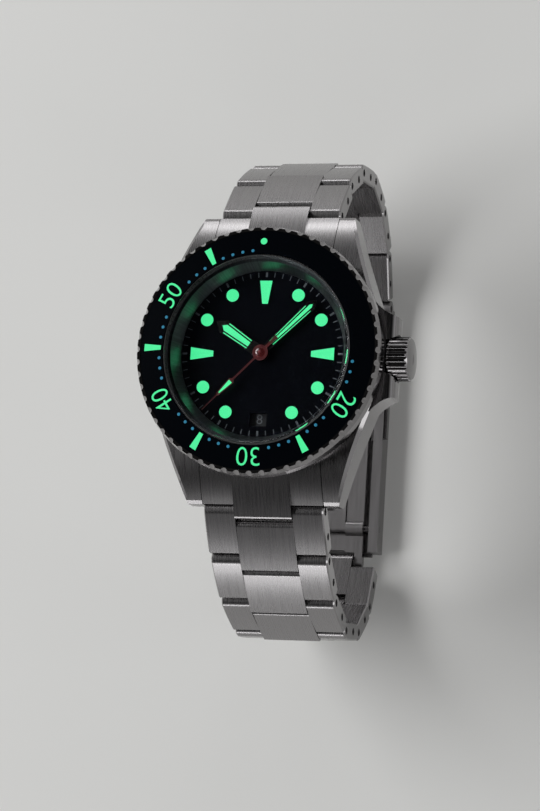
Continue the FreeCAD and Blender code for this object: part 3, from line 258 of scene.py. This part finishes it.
def brushed_steel(name, roughness, turned=False):
    """316L steel brushed by belt: fine lines along the bracelet that stretch highlights across it.

    The flanks, facing sideways, are polished on a wheel and mirror the room. A turned face has
    the lines round the axis instead, and no polished flanks.
    """
    steel = settings("watch_steel")
    made, tree, output = material(name)
    coords = add(tree, "ShaderNodeTexCoord")
    across = 1 / steel.grain
    if turned:
        flat, place = turned_coordinates(tree, steel.grain)
    else:
        # a brush line is forty times as long as it is wide
        place = add(tree, "ShaderNodeMapping", values={"Scale": (across, across / 40, across / 40)},
                    links={"Vector": coords.outputs["Object"]}).outputs[0]
    lines = add(tree, "ShaderNodeTexNoise", values={"Scale": 1.0, "Detail": 2.0, "Roughness": 0.5},
                links={"Vector": place})
    spread = add(tree, "ShaderNodeMapRange",
                 values={"From Min": 0.3, "From Max": 0.7,
                         "To Min": roughness - 0.02, "To Max": roughness + 0.03},
                 links={"Value": lines.outputs["Fac"]})
    colour = add(tree, "ShaderNodeMix", data_type="RGBA",
                 values={"A": opaque([c * 0.94 for c in steel.steel]),
                         "B": opaque([min(1, c * 1.06) for c in steel.steel])},
                 links={"Factor": lines.outputs["Fac"]})
    rough = spread.outputs[0]
    depth = lines.outputs["Fac"]
    if not turned:
        side = across_x(tree)
        clouds = add(tree, "ShaderNodeTexNoise", values={"Scale": 260.0, "Detail": 2.0},
                     links={"Vector": coords.outputs["Object"]})
        polished = add(tree, "ShaderNodeMapRange", values={"To Min": steel.polished_roughness,
                                                            "To Max": steel.polished_roughness + 0.06},
                       links={"Value": clouds.outputs["Fac"]})
        rough = add(tree, "ShaderNodeMix",
                    links={"Factor": side, "A": rough, "B": polished.outputs[0]}).outputs[0]
        depth = add(tree, "ShaderNodeMix", values={"B": 0.5},
                    links={"Factor": side, "A": depth}).outputs[0]
    relief = add(tree, "ShaderNodeBump", values={"Strength": 0.045, "Distance": 0.01 * MM},
                 links={"Height": depth})
    if turned:
        along = add(tree, "ShaderNodeVectorMath", links={0: flat}, operation="NORMALIZE").outputs[0]
    else:
        # a little off the X axis, so that it has a length on faces that look along it
        along = add(tree, "ShaderNodeCombineXYZ", values={"X": 1.0, "Y": 0.03, "Z": 0.02}).outputs[0]
    shader = add(tree, "ShaderNodeBsdfPrincipled", values={"Metallic": 1.0, "Anisotropic": steel.stretch},
                 links={"Base Color": colour.outputs["Result"], "Roughness": rough,
                        "Normal": relief.outputs[0], "Tangent": along})
    tree.links.new(shader.outputs[0], output.inputs[0])
    return made


def polished_steel(name, roughness, tint=1.0):
    """316L steel polished on a wheel: a mirror with faint clouds left by the wheel."""
    steel = settings("watch_steel")
    made, tree, output = material(name)
    coords = add(tree, "ShaderNodeTexCoord")
    clouds = add(tree, "ShaderNodeTexNoise", values={"Scale": 700.0, "Detail": 4.0},
                 links={"Vector": coords.outputs["Object"]})
    spread = add(tree, "ShaderNodeMapRange", values={"To Min": roughness, "To Max": roughness + 0.1},
                 links={"Value": clouds.outputs["Fac"]})
    colour = add(tree, "ShaderNodeMix", data_type="RGBA",
                 values={"A": opaque([c * 0.92 * tint for c in steel.steel]),
                         "B": opaque([min(1, c * 1.04 * tint) for c in steel.steel])},
                 links={"Factor": clouds.outputs["Fac"]})
    shader = add(tree, "ShaderNodeBsdfPrincipled", values={"Metallic": 1.0},
                 links={"Base Color": colour.outputs["Result"], "Roughness": spread.outputs[0]})
    tree.links.new(shader.outputs[0], output.inputs[0])
    return made


def luminous_paint(name, colour, body_colour, strength):
    """Strontium aluminate paint: a matte grainy fill that glows green by itself."""
    made, tree, output = material(name)
    coords = add(tree, "ShaderNodeTexCoord")
    grain = add(tree, "ShaderNodeTexNoise", values={"Scale": 9000.0, "Detail": 3.0},
                links={"Vector": coords.outputs["Object"]})
    body = add(tree, "ShaderNodeMix", data_type="RGBA",
               values={"A": opaque([c * 0.75 for c in body_colour]), "B": opaque(body_colour)},
               links={"Factor": grain.outputs["Fac"]})
    glow = add(tree, "ShaderNodeMix", data_type="RGBA",
               values={"A": opaque([c * 0.9 for c in colour]),
                       "B": opaque([min(1, c * 1.1) for c in colour])},
               links={"Factor": grain.outputs["Fac"]})
    relief = add(tree, "ShaderNodeBump", values={"Strength": 0.2, "Distance": 0.01 * MM},
                 links={"Height": grain.outputs["Fac"]})
    shader = add(tree, "ShaderNodeBsdfPrincipled",
                 values={"Roughness": 0.6, "IOR": 1.5, "Specular IOR Level": 0.2,
                         "Emission Strength": strength},
                 links={"Base Color": body.outputs["Result"], "Emission Color": glow.outputs["Result"],
                        "Normal": relief.outputs[0]})
    tree.links.new(shader.outputs[0], output.inputs[0])
    return made


def lacquer(name, colour, roughness, grain_mm=0.12, shift=0.12, coat=0.0, gloss=0.5):
    """Sprayed lacquer on metal: an even colour with faint grain and orange peel."""
    made, tree, output = material(name)
    coords = add(tree, "ShaderNodeTexCoord")
    grain = add(tree, "ShaderNodeTexNoise", values={"Scale": 1 / (grain_mm * MM), "Detail": 4.0},
                links={"Vector": coords.outputs["Object"]})
    body = add(tree, "ShaderNodeMix", data_type="RGBA",
               values={"A": opaque([c * (1 - shift) for c in colour]),
                       "B": opaque([min(1, c * (1 + shift)) for c in colour])},
               links={"Factor": grain.outputs["Fac"]})
    spread = add(tree, "ShaderNodeMapRange", values={"To Min": roughness - 0.05, "To Max": roughness + 0.05},
                 links={"Value": grain.outputs["Fac"]})
    relief = add(tree, "ShaderNodeBump", values={"Strength": 0.08, "Distance": 0.01 * MM},
                 links={"Height": grain.outputs["Fac"]})
    shader = add(tree, "ShaderNodeBsdfPrincipled",
                 values={"IOR": 1.5, "Specular IOR Level": gloss,
                         "Coat Weight": coat, "Coat Roughness": 0.05},
                 links={"Base Color": body.outputs["Result"], "Roughness": spread.outputs[0],
                        "Normal": relief.outputs[0]})
    tree.links.new(shader.outputs[0], output.inputs[0])
    return made


def rehaut_steel(name):
    """Steel inner ring brushed from the dial up to the glass, so its lines fan out from the centre."""
    made, tree, output = material(name)
    coords = add(tree, "ShaderNodeTexCoord")
    flat = add(tree, "ShaderNodeVectorMath", values={1: (1, 1, 0)},
               links={0: coords.outputs["Object"]}, operation="MULTIPLY")
    heading = add(tree, "ShaderNodeVectorMath", links={0: flat.outputs[0]}, operation="NORMALIZE")
    # one line every 0.25 mm round a ring of 14 mm radius
    lines = add(tree, "ShaderNodeTexNoise", values={"Scale": 14 / 0.25, "Detail": 2.0},
                links={"Vector": heading.outputs[0]})
    colour = add(tree, "ShaderNodeMix", data_type="RGBA",
                 values={"A": opaque(linear("#4E5254")), "B": opaque(linear("#7E8486"))},
                 links={"Factor": lines.outputs["Fac"]})
    shader = add(tree, "ShaderNodeBsdfPrincipled", values={"Metallic": 1.0, "Roughness": 0.33},
                 links={"Base Color": colour.outputs["Result"]})
    tree.links.new(shader.outputs[0], output.inputs[0])
    return made


def sapphire_glass(name):
    """Sapphire crystal with an anti-reflective coating: clear, and it lets the lamps through to the dial."""
    made, tree, output = material(name)
    path = add(tree, "ShaderNodeLightPath")
    # sapphire's IOR is 1.77, but its coating leaves the faint mirror of a far lower one
    glass = add(tree, "ShaderNodeBsdfPrincipled",
                values={"Base Color": (0.97, 0.99, 1.0, 1.0), "Roughness": 0.0, "IOR": 1.18,
                        "Transmission Weight": 1.0})
    clear = add(tree, "ShaderNodeBsdfTransparent", values={"Color": (0.96, 0.97, 0.98, 1.0)})
    both = add(tree, "ShaderNodeMixShader",
               links={0: path.outputs["Is Shadow Ray"], 1: glass.outputs[0], 2: clear.outputs[0]})
    tree.links.new(both.outputs[0], output.inputs[0])
    return made


def nitrile_rubber(name):
    """Moulded nitrile rubber gasket: dark, matte, with a bloom of fine dust."""
    return lacquer(name, linear("#1B1B1C"), 0.7, grain_mm=0.2, shift=0.3)


def turned_brass(name):
    """Rhodium-washed brass turned on a lathe, with concentric tool lines 0.25 mm apart."""
    made, tree, output = material(name)
    brass = linear("#B99F62")
    lines = add(tree, "ShaderNodeTexNoise", values={"Scale": 1.0, "Detail": 2.0},
                links={"Vector": turned_coordinates(tree, 0.25 * MM)[1]})
    tone = add(tree, "ShaderNodeMix", data_type="RGBA",
               values={"A": opaque([c * 0.8 for c in brass]), "B": opaque(brass)},
               links={"Factor": lines.outputs["Fac"]})
    shader = add(tree, "ShaderNodeBsdfPrincipled", values={"Metallic": 1.0, "Roughness": 0.32},
                 links={"Base Color": tone.outputs["Result"]})
    tree.links.new(shader.outputs[0], output.inputs[0])
    return made


def dress(made, *nodes):
    """Puts a material on CAD nodes."""
    for name in nodes:
        holder = NODES[name]
        if not holder.material_slots:
            holder.data.materials.append(made)
        for place in holder.material_slots:
            place.material = made


# ---------------------------------------------------------------- surfaces

def mesh_piece(name, points, faces, made, body):
    """A mesh piece from an array of points and a list of faces, riding on a CAD body."""
    mesh = bpy.data.meshes.new(name)
    mesh.from_pydata(points.tolist(), [], faces)
    mesh.update()
    mesh.materials.append(made)
    piece = bpy.data.objects.new(name, mesh)
    bpy.context.scene.collection.objects.link(piece)
    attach(piece, body)
    return piece


def turned_piece(name, profile, sides, made, body):
    """Closed lathe shape with crisp corners.

    Ring i of the cross-section (radius, height) becomes (r cos t, r sin t, z) for t round the circle;
    the first and the last point lie on the axis and are poles. Each ring's edges are marked sharp.
    """
    turn = np.linspace(0, math.tau, sides, endpoint=False)
    rings = profile[1:-1]
    circle = np.stack([np.cos(turn), np.sin(turn)], axis=-1)
    flat = rings[:, None, 0, None] * circle[None, :, :]
    height = np.broadcast_to(rings[:, None, 1, None], flat.shape[:2] + (1,))
    points = np.concatenate([flat, height], axis=-1).reshape(-1, 3)
    poles = np.array([(0, 0, profile[0, 1]), (0, 0, profile[-1, 1])])
    count = len(rings) * sides
    ring, side = np.meshgrid(np.arange(len(rings) - 1), np.arange(sides), indexing="ij")
    after = (side + 1) % sides
    quads = np.stack([ring * sides + side, ring * sides + after,
                      (ring + 1) * sides + after, (ring + 1) * sides + side], axis=-1).reshape(-1, 4)
    side = np.arange(sides)
    after = (side + 1) % sides
    last = (len(rings) - 1) * sides
    foot = np.stack([np.full(sides, count), after, side], axis=-1)
    crest = np.stack([np.full(sides, count + 1), last + side, last + after], axis=-1)
    faces = quads.tolist() + foot.tolist() + crest.tolist()
    piece = mesh_piece(name, np.concatenate([points, poles]), faces, made, body)
    mesh = piece.data
    ends = np.zeros(len(mesh.edges) * 2, int)
    mesh.edges.foreach_get("vertices", ends)
    ends = ends.reshape(-1, 2)
    sharp = (ends[:, 0] // sides == ends[:, 1] // sides) & (ends.max(axis=1) < count)
    mesh.edges.foreach_set("use_edge_sharp", sharp)
    mesh.polygons.foreach_set("use_smooth", np.ones(len(mesh.polygons), bool))
    mesh.update()
    return piece


def insert_slope():
    """Fall of the insert's face per metre outwards, and the height of its inner rim."""
    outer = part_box("bezel_insert")[1]
    return INSERT_FALL / (outer.y - INSERT_INNER), outer.z


def on_insert(across, up, minute, radius, rise):
    """Places flat drawing coordinates on the insert's cone.

    A point at (across, up) goes to radius + up from the axis, turned by across / radius
    from the given minute, and to the cone's height there plus rise.
    """
    fall, crest = insert_slope()
    far = radius + up
    angle = math.tau * minute / 60 + across / radius + math.radians(BEZEL_SETTING)
    height = crest - fall * (far - INSERT_INNER) + rise
    return np.stack([far * np.sin(angle), far * np.cos(angle), height], axis=-1)


def dot_surface(centres, diameter, place, rings=4, sides=14):
    """Domed round dots.

    Each is a polar grid: at share s of the radius its height is (1 - s squared) of the crown.
    centres is a list of drawing points; place turns a dot's grid into points of the row frame.
    """
    share = np.linspace(0, 1, rings + 1)[1:, None]
    turn = np.linspace(0, math.tau, sides, endpoint=False)[None, :]
    across = (share * np.cos(turn)).ravel() * diameter / 2
    up = (share * np.sin(turn)).ravel() * diameter / 2
    crown = np.broadcast_to(1 - share ** 2, (rings, sides)).ravel()
    across = np.append(across, 0)
    up = np.append(up, 0)
    crown = np.append(crown, 1)
    points = np.concatenate([place(centre, across, up, crown) for centre in centres])
    ring, side = np.meshgrid(np.arange(rings - 1), np.arange(sides), indexing="ij")
    after = (side + 1) % sides
    quads = np.stack([ring * sides + side, (ring + 1) * sides + side,
                      (ring + 1) * sides + after, ring * sides + after], axis=-1).reshape(-1, 4)
    side = np.arange(sides)
    middle = np.stack([np.full(sides, rings * sides), side, (side + 1) % sides], axis=-1)
    faces = quads.tolist() + middle.tolist()
    one = rings * sides + 1
    every = [[index + one * k for index in face] for k in range(len(centres)) for face in faces]
    return points, every


def glyph_drawing(text, height, width, thickness):
    """Flat drawing of digits as a thin plate: points (across, up, depth) and faces.

    Blender's own sans-serif outline, drawn a little thinner, scaled to the given height and,
    when width is not None, width.
    """
    curve = bpy.data.curves.new("digits", "FONT")
    curve.body = text
    curve.size = 1.0
    curve.resolution_u = 4
    curve.extrude = 0.5
    curve.offset = -0.008
    holder = bpy.data.objects.new("digits", curve)
    bpy.context.scene.collection.objects.link(holder)
    bpy.context.view_layer.update()
    mesh = bpy.data.meshes.new_from_object(holder)
    points = np.zeros(len(mesh.vertices) * 3)
    mesh.vertices.foreach_get("co", points)
    points = points.reshape(-1, 3)
    faces = [list(face.vertices) for face in mesh.polygons]
    bpy.data.objects.remove(holder)
    bpy.data.curves.remove(curve)
    bpy.data.meshes.remove(mesh)
    low = points.min(axis=0)
    size = points.max(axis=0) - low
    tall = height / size[1]
    wide = tall if width is None else width / size[0]
    points[:, 0] = (points[:, 0] - low[0] - size[0] / 2) * wide
    points[:, 1] = (points[:, 1] - low[1] - size[1] / 2) * tall
    points[:, 2] = points[:, 2] * thickness
    return points, faces


def merged(drawings):
    """Joins (points, faces) pairs into one."""
    start = 0
    points = []
    faces = []
    for more_points, more_faces in drawings:
        points.append(more_points)
        faces.extend([[index + start for index in face] for face in more_faces])
        start += len(more_points)
    return np.concatenate(points), faces


# ---------------------------------------------------------------- operators

class DIVEWATCH_OT_studio(bpy.types.Operator):
    """Sets the camera, the pale floor, the background and the soft lamps"""
    bl_idname = "dive_watch.studio"
    bl_label = "Studio"

    def execute(self, context):
        studio = settings("watch_studio")
        scene = context.scene
        scene.view_settings.view_transform = "Standard"
        lens = bpy.data.cameras.new("camera")
        lens.lens = 144.3
        lens.sensor_width = 36
        lens.clip_start = 0.01
        camera = bpy.data.objects.new("camera", lens)
        # the camera's axes and its place, in the watch's frame
        right = (0.95928, 0.05966, -0.27610)
        up = (-0.00815, 0.98288, 0.18406)
        back = (0.28235, -0.17432, 0.94334)
        spot = (0.14555, -0.0970, 0.48954)
        camera.matrix_world = Matrix((
            (right[0], up[0], back[0], spot[0]),
            (right[1], up[1], back[1], spot[1]),
            (right[2], up[2], back[2], spot[2]),
            (0, 0, 0, 1),
        ))
        scene.collection.objects.link(camera)
        scene.camera = camera

        # the paper lies at the lowest point of the bracelet
        base = CAD_BOX[0].z
        size = 3.0
        corners = [(-size, -size, base), (size, -size, base), (size, size, base), (-size, size, base)]
        mesh = bpy.data.meshes.new("floor")
        mesh.from_pydata(corners, [], [(0, 1, 2, 3)])
        made, tree, output = material("paper_floor")
        # matte seamless paper
        shader = add(tree, "ShaderNodeBsdfPrincipled",
                     values={"Base Color": opaque(studio.floor), "Roughness": 0.9, "Specular IOR Level": 0.1})
        tree.links.new(shader.outputs[0], output.inputs[0])
        mesh.materials.append(made)
        floor = bpy.data.objects.new("floor", mesh)
        scene.collection.objects.link(floor)

        world = bpy.data.worlds.new("studio_air")
        scene.world = world
        world.use_nodes = True
        tree = world.node_tree
        tree.nodes.clear()
        coords = add(tree, "ShaderNodeTexCoord")
        parts = add(tree, "ShaderNodeSeparateXYZ", links={0: coords.outputs["Generated"]})
        climb = add(tree, "ShaderNodeMapRange", values={"From Min": 0.15, "From Max": 0.75},
                    links={"Value": parts.outputs["Z"]}, interpolation_type="SMOOTHSTEP")
        level = add(tree, "ShaderNodeMix", data_type="RGBA",
                    values={"A": (studio.walls,) * 3 + (1.0,), "B": (studio.ceiling,) * 3 + (1.0,)},
                    links={"Factor": climb.outputs[0]})
        sky = add(tree, "ShaderNodeBackground", values={"Strength": 1.0},
                  links={"Color": level.outputs["Result"]})
        add(tree, "ShaderNodeOutputWorld", links={0: sky.outputs[0]})

        for name, where, size_m, power in (
            ("key_lamp", (-0.90, 0.15, 0.68), (1.3, 0.50), studio.key_power),
            ("back_strip", (0.0, 0.70, 0.16), (1.0, 0.10), studio.strip_power),
            ("front_strip", (0.0, -0.70, 0.16), (1.0, 0.10), studio.strip_power),
            ("side_lamp", (0.62, -0.10, 0.22), (0.25, 0.25), studio.side_power),
        ):
            light = bpy.data.lights.new(name, "AREA")
            light.shape = "RECTANGLE"
            light.size, light.size_y = size_m
            light.energy = power
            lamp = bpy.data.objects.new(name, light)
            aim = -np.array(where) / np.linalg.norm(where)
            side = np.cross(aim, (0, 0, 1))
            side = side / np.linalg.norm(side)
            top = np.cross(side, aim)
            lamp.matrix_world = Matrix((
                (side[0], top[0], -aim[0], where[0]),
                (side[1], top[1], -aim[1], where[1]),
                (side[2], top[2], -aim[2], where[2]),
                (0, 0, 0, 1),
            ))
            scene.collection.objects.link(lamp)
        return {"FINISHED"}


class DIVEWATCH_OT_steel(bpy.types.Operator):
    """Gives case, bezel, crown, bracelet and clasp their brushed and polished steel"""
    bl_idname = "dive_watch.steel"
    bl_label = "Steel"

    def execute(self, context):
        steel = settings("watch_steel")
        rough = steel.brushed_roughness
        dress(brushed_steel("case_brushed_steel", rough), "mid_case")
        links = [name for name in NODES if name.startswith("link_")]
        dress(brushed_steel("bracelet_brushed_steel", rough), "end_link_12h", "end_link_6h", *links)
        dress(brushed_steel("clasp_brushed_steel", rough + 0.03), "clasp_cover", "safety_flap",
              "clasp_blade_1", "clasp_blade_2")
        dress(brushed_steel("case_back_turned_steel", rough, turned=True), "case_back")
        dress(polished_steel("bezel_polished_steel", steel.polished_roughness), "bezel", "crown")
        dress(polished_steel("pin_ground_steel", 0.2, tint=0.9), "lug_spring_bars", "clasp_cover_pin",
              "clasp_fold_pin", "clasp_spring_bar_6h", "clasp_spring_bar_12h", "safety_flap_pin",
              "release_button_right", "release_button_left", "crown_tube", "winding_stem", "setting_lever",
              "bezel_click_spring", "cannon_pinion", "seconds_arbor")
        dress(nitrile_rubber("gasket_nitrile_rubber"), "case_back_gasket", "crystal_gasket", "bezel_gasket")
        dress(turned_brass("movement_turned_brass"), "movement", "rotor", "hour_wheel")
        dress(lacquer("holder_moulded_nylon", linear("#C9C7BE"), 0.5), "movement_holder")
        return {"FINISHED"}


class DIVEWATCH_OT_dial(bpy.types.Operator):
    """Finishes dial, rehaut and glass, and prints the minute track and the dates"""
    bl_idname = "dive_watch.dial"
    bl_label = "Dial and glass"

    def execute(self, context):
        look = settings("watch_dial")
        self.crystal(sapphire_glass("crystal_sapphire"))
        dress(rehaut_steel("rehaut_brushed_steel"), "rehaut_ring")
        dress(lacquer("dial_matte_lacquer", look.dial, 0.3, gloss=0.06), "dial")
        dress(lacquer("date_disc_lacquer", linear("#08090C"), 0.5, gloss=0.25), "date_disc")
        lume = luminous_paint("hour_marker_lume", look.lume, look.lume_body, look.lume_strength)
        dress(lume, "hour_markers")
        ink = lacquer("minute_track_ink", look.ink, 0.55, grain_mm=0.05)
        self.minute_track(look, ink)
        self.dates(look, ink)
        return {"FINISHED"}

    def crystal(self, made):
        """Ground crystal: the cross-section of a plate with narrow 45 degree bevels, turned round."""
        low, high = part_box("crystal")
        wide = high.x
        flat = wide - CRYSTAL_BEVEL
        profile = np.array([(0, low.z), (flat, low.z), (wide, low.z + CRYSTAL_BEVEL),
                            (wide, high.z - CRYSTAL_BEVEL), (flat, high.z), (0, high.z)])
        piece = turned_piece("crystal_glass", profile, CRYSTAL_SIDES, made, "case")
        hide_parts("crystal")

    def minute_track(self, look, ink):
        """Sixty printed ticks: bars from the rehaut inwards, wider at each fifth minute.

        A bar is a plate whose corners are (plus or minus half width, inner or outer radius, low or high)
        turned by its minute.
        """
        top = node_top("dial")
        minutes = np.arange(60)
        half = np.where(minutes % 5 == 0, HOUR_TICK_HALF_WIDTH, TICK_HALF_WIDTH)
        corner = np.array([(a, b, c) for c in (0, 1) for b in (0, 1) for a in (-1, 1)], float)
        across = half[:, None] * corner[None, :, 0]
        along = TRACK_RADIUS - look.tick_length * (1 - corner[None, :, 1]) + 0 * across
        height = top + TICK_THICKNESS * corner[None, :, 2] + 0 * across
        angle = (math.tau * minutes / 60)[:, None]
        points = np.stack([across * np.cos(angle) + along * np.sin(angle),
                           -across * np.sin(angle) + along * np.cos(angle), height], axis=-1)
        box_faces = np.array([(4, 5, 7, 6), (0, 1, 5, 4), (2, 6, 7, 3), (0, 4, 6, 2), (1, 3, 7, 5)])
        faces = (box_faces[None, :, :] + 8 * minutes[:, None, None]).reshape(-1, 4).tolist()
        mesh_piece("minute_track", points.reshape(-1, 3), faces, ink, "case")

    def dates(self, look, ink):
        """Thirty-one dates round the disc, tops inwards, the shown one in the window at 6 o'clock.

        A digit's drawing is turned by its day's share of a turn, with up pointing at the axis.
        """
        top = node_top("date_disc") + INK_LIFT
        drawings = []
        for day in range(1, 32):
            points, faces = glyph_drawing(str(day), look.date_height, None, DATE_INK_THICKNESS)
            angle = math.tau * (day - SHOWN_DATE) / 31
            far = DATE_RADIUS - points[:, 1]
            across = points[:, 0]
            x = across * math.cos(angle) + far * math.sin(angle)
            y = across * math.sin(angle) - far * math.cos(angle)
            drawings.append((np.stack([x, y, top + points[:, 2]], axis=-1), faces))
        points, faces = merged(drawings)
        mesh_piece("date_numerals", points, faces, ink, "date_disc")


class DIVEWATCH_OT_hands(bpy.types.Operator):
    """Finishes the three hands"""
    bl_idname = "dive_watch.hands"
    bl_label = "Hands"

    def execute(self, context):
        look = settings("watch_dial")
        dress(polished_steel("hand_black_nickel", 0.16, tint=0.22), "hour_hand", "minute_hand")
        dress(lacquer("seconds_red_lacquer", look.seconds_red, 0.3, coat=0.5), "seconds_hand")
        lume = luminous_paint("hand_lume", look.lume, look.lume_body, look.lume_strength)
        dress(lume, "hour_hand_lume", "minute_hand_lume", "seconds_hand_lume")
        self.hub_cap(look)
        return {"FINISHED"}

    def hub_cap(self, look):
        """Domed cap over the hands' centre: a profile of height h(1 - s squared) turned about the axis."""
        top = node_top("seconds_hand")
        made = lacquer("hub_red_lacquer", look.seconds_red, 0.25, coat=0.6)

        def place(centre, across, up, crown):
            return np.stack([across, up, top + HUB_CROWN * crown], axis=-1)

        points, faces = dot_surface([0], HUB_DIAMETER, place, rings=6, sides=32)
        mesh_piece("hub_cap", points, faces, made, "seconds_hand")


class DIVEWATCH_OT_bezel(bpy.types.Operator):
    """Finishes the insert and its inlays, and adds numerals and minute dots"""
    bl_idname = "dive_watch.bezel"
    bl_label = "Bezel insert"

    def execute(self, context):
        look = settings("watch_bezel")
        paint = settings("watch_dial")
        dress(lacquer("insert_black_ceramic", look.insert, 0.13, gloss=0.16), "bezel_insert")
        lume = luminous_paint("bezel_lume", paint.lume, paint.lume_body, paint.lume_strength)
        dress(lume, "bezel_markers")
        drawings = []
        for minute in BEZEL_NUMERALS:
            points, faces = glyph_drawing(str(minute), look.numeral_height, look.numeral_width, INK_THICKNESS)
            placed = on_insert(points[:, 0], points[:, 1], minute, NUMERAL_RADIUS, points[:, 2] + INK_LIFT)
            drawings.append((placed, faces))
        points, faces = merged(drawings)
        mesh_piece("bezel_numerals", points, faces, lume, "bezel")

        blue = luminous_paint("minute_dot_blue", look.minute_blue, [c * 0.4 for c in look.minute_blue], 0.6)
        minutes = [minute for minute in range(60) if minute not in MINUTES_WITHOUT_DOT]

        def place(minute, across, up, crown):
            return on_insert(across, up, minute, MINUTE_DOT_RADIUS, MINUTE_DOT_CROWN * crown)

        points, faces = dot_surface(minutes, look.dot_diameter, place)
        mesh_piece("bezel_minute_dots", points, faces, blue, "bezel")
        return {"FINISHED"}


class DIVEWATCH_PT_panel(bpy.types.Panel):
    """Sizes and colours of the watch, and the steps that apply them"""
    bl_idname = "DIVEWATCH_PT_panel"
    bl_label = "Dive watch"
    bl_space_type = "VIEW_3D"
    bl_region_type = "UI"
    bl_category = "Dive watch"

    def draw(self, context):
        layout = self.layout
        for group, operator in STEPS:
            column = layout.column(align=True)
            holder = getattr(context.scene, group)
            for name in holder.__annotations__:
                column.prop(holder, name)
            column.operator(operator)


GROUPS = {
    "watch_studio": WatchStudioSettings,
    "watch_steel": WatchSteelSettings,
    "watch_dial": WatchDialSettings,
    "watch_bezel": WatchBezelSettings,
}
STEPS = (
    ("watch_studio", "dive_watch.studio"),
    ("watch_steel", "dive_watch.steel"),
    ("watch_dial", "dive_watch.dial"),
    ("watch_dial", "dive_watch.hands"),
    ("watch_bezel", "dive_watch.bezel"),
)
CLASSES = tuple(GROUPS.values()) + (
    DIVEWATCH_OT_studio, DIVEWATCH_OT_steel, DIVEWATCH_OT_dial, DIVEWATCH_OT_hands, DIVEWATCH_OT_bezel,
    DIVEWATCH_PT_panel,
)


def register():
    for cls in CLASSES:
        bpy.utils.register_class(cls)
    for name, group in GROUPS.items():
        setattr(bpy.types.Scene, name, PointerProperty(type=group))


def unregister():
    for name in GROUPS:
        delattr(bpy.types.Scene, name)
    for cls in reversed(CLASSES):
        bpy.utils.unregister_class(cls)


def main():
    """Registers the add-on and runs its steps."""
    register()
    bpy.ops.dive_watch.studio()
    bpy.ops.dive_watch.steel()
    bpy.ops.dive_watch.dial()
    bpy.ops.dive_watch.hands()
    bpy.ops.dive_watch.bezel()


if __name__ == "__main__":
    main()
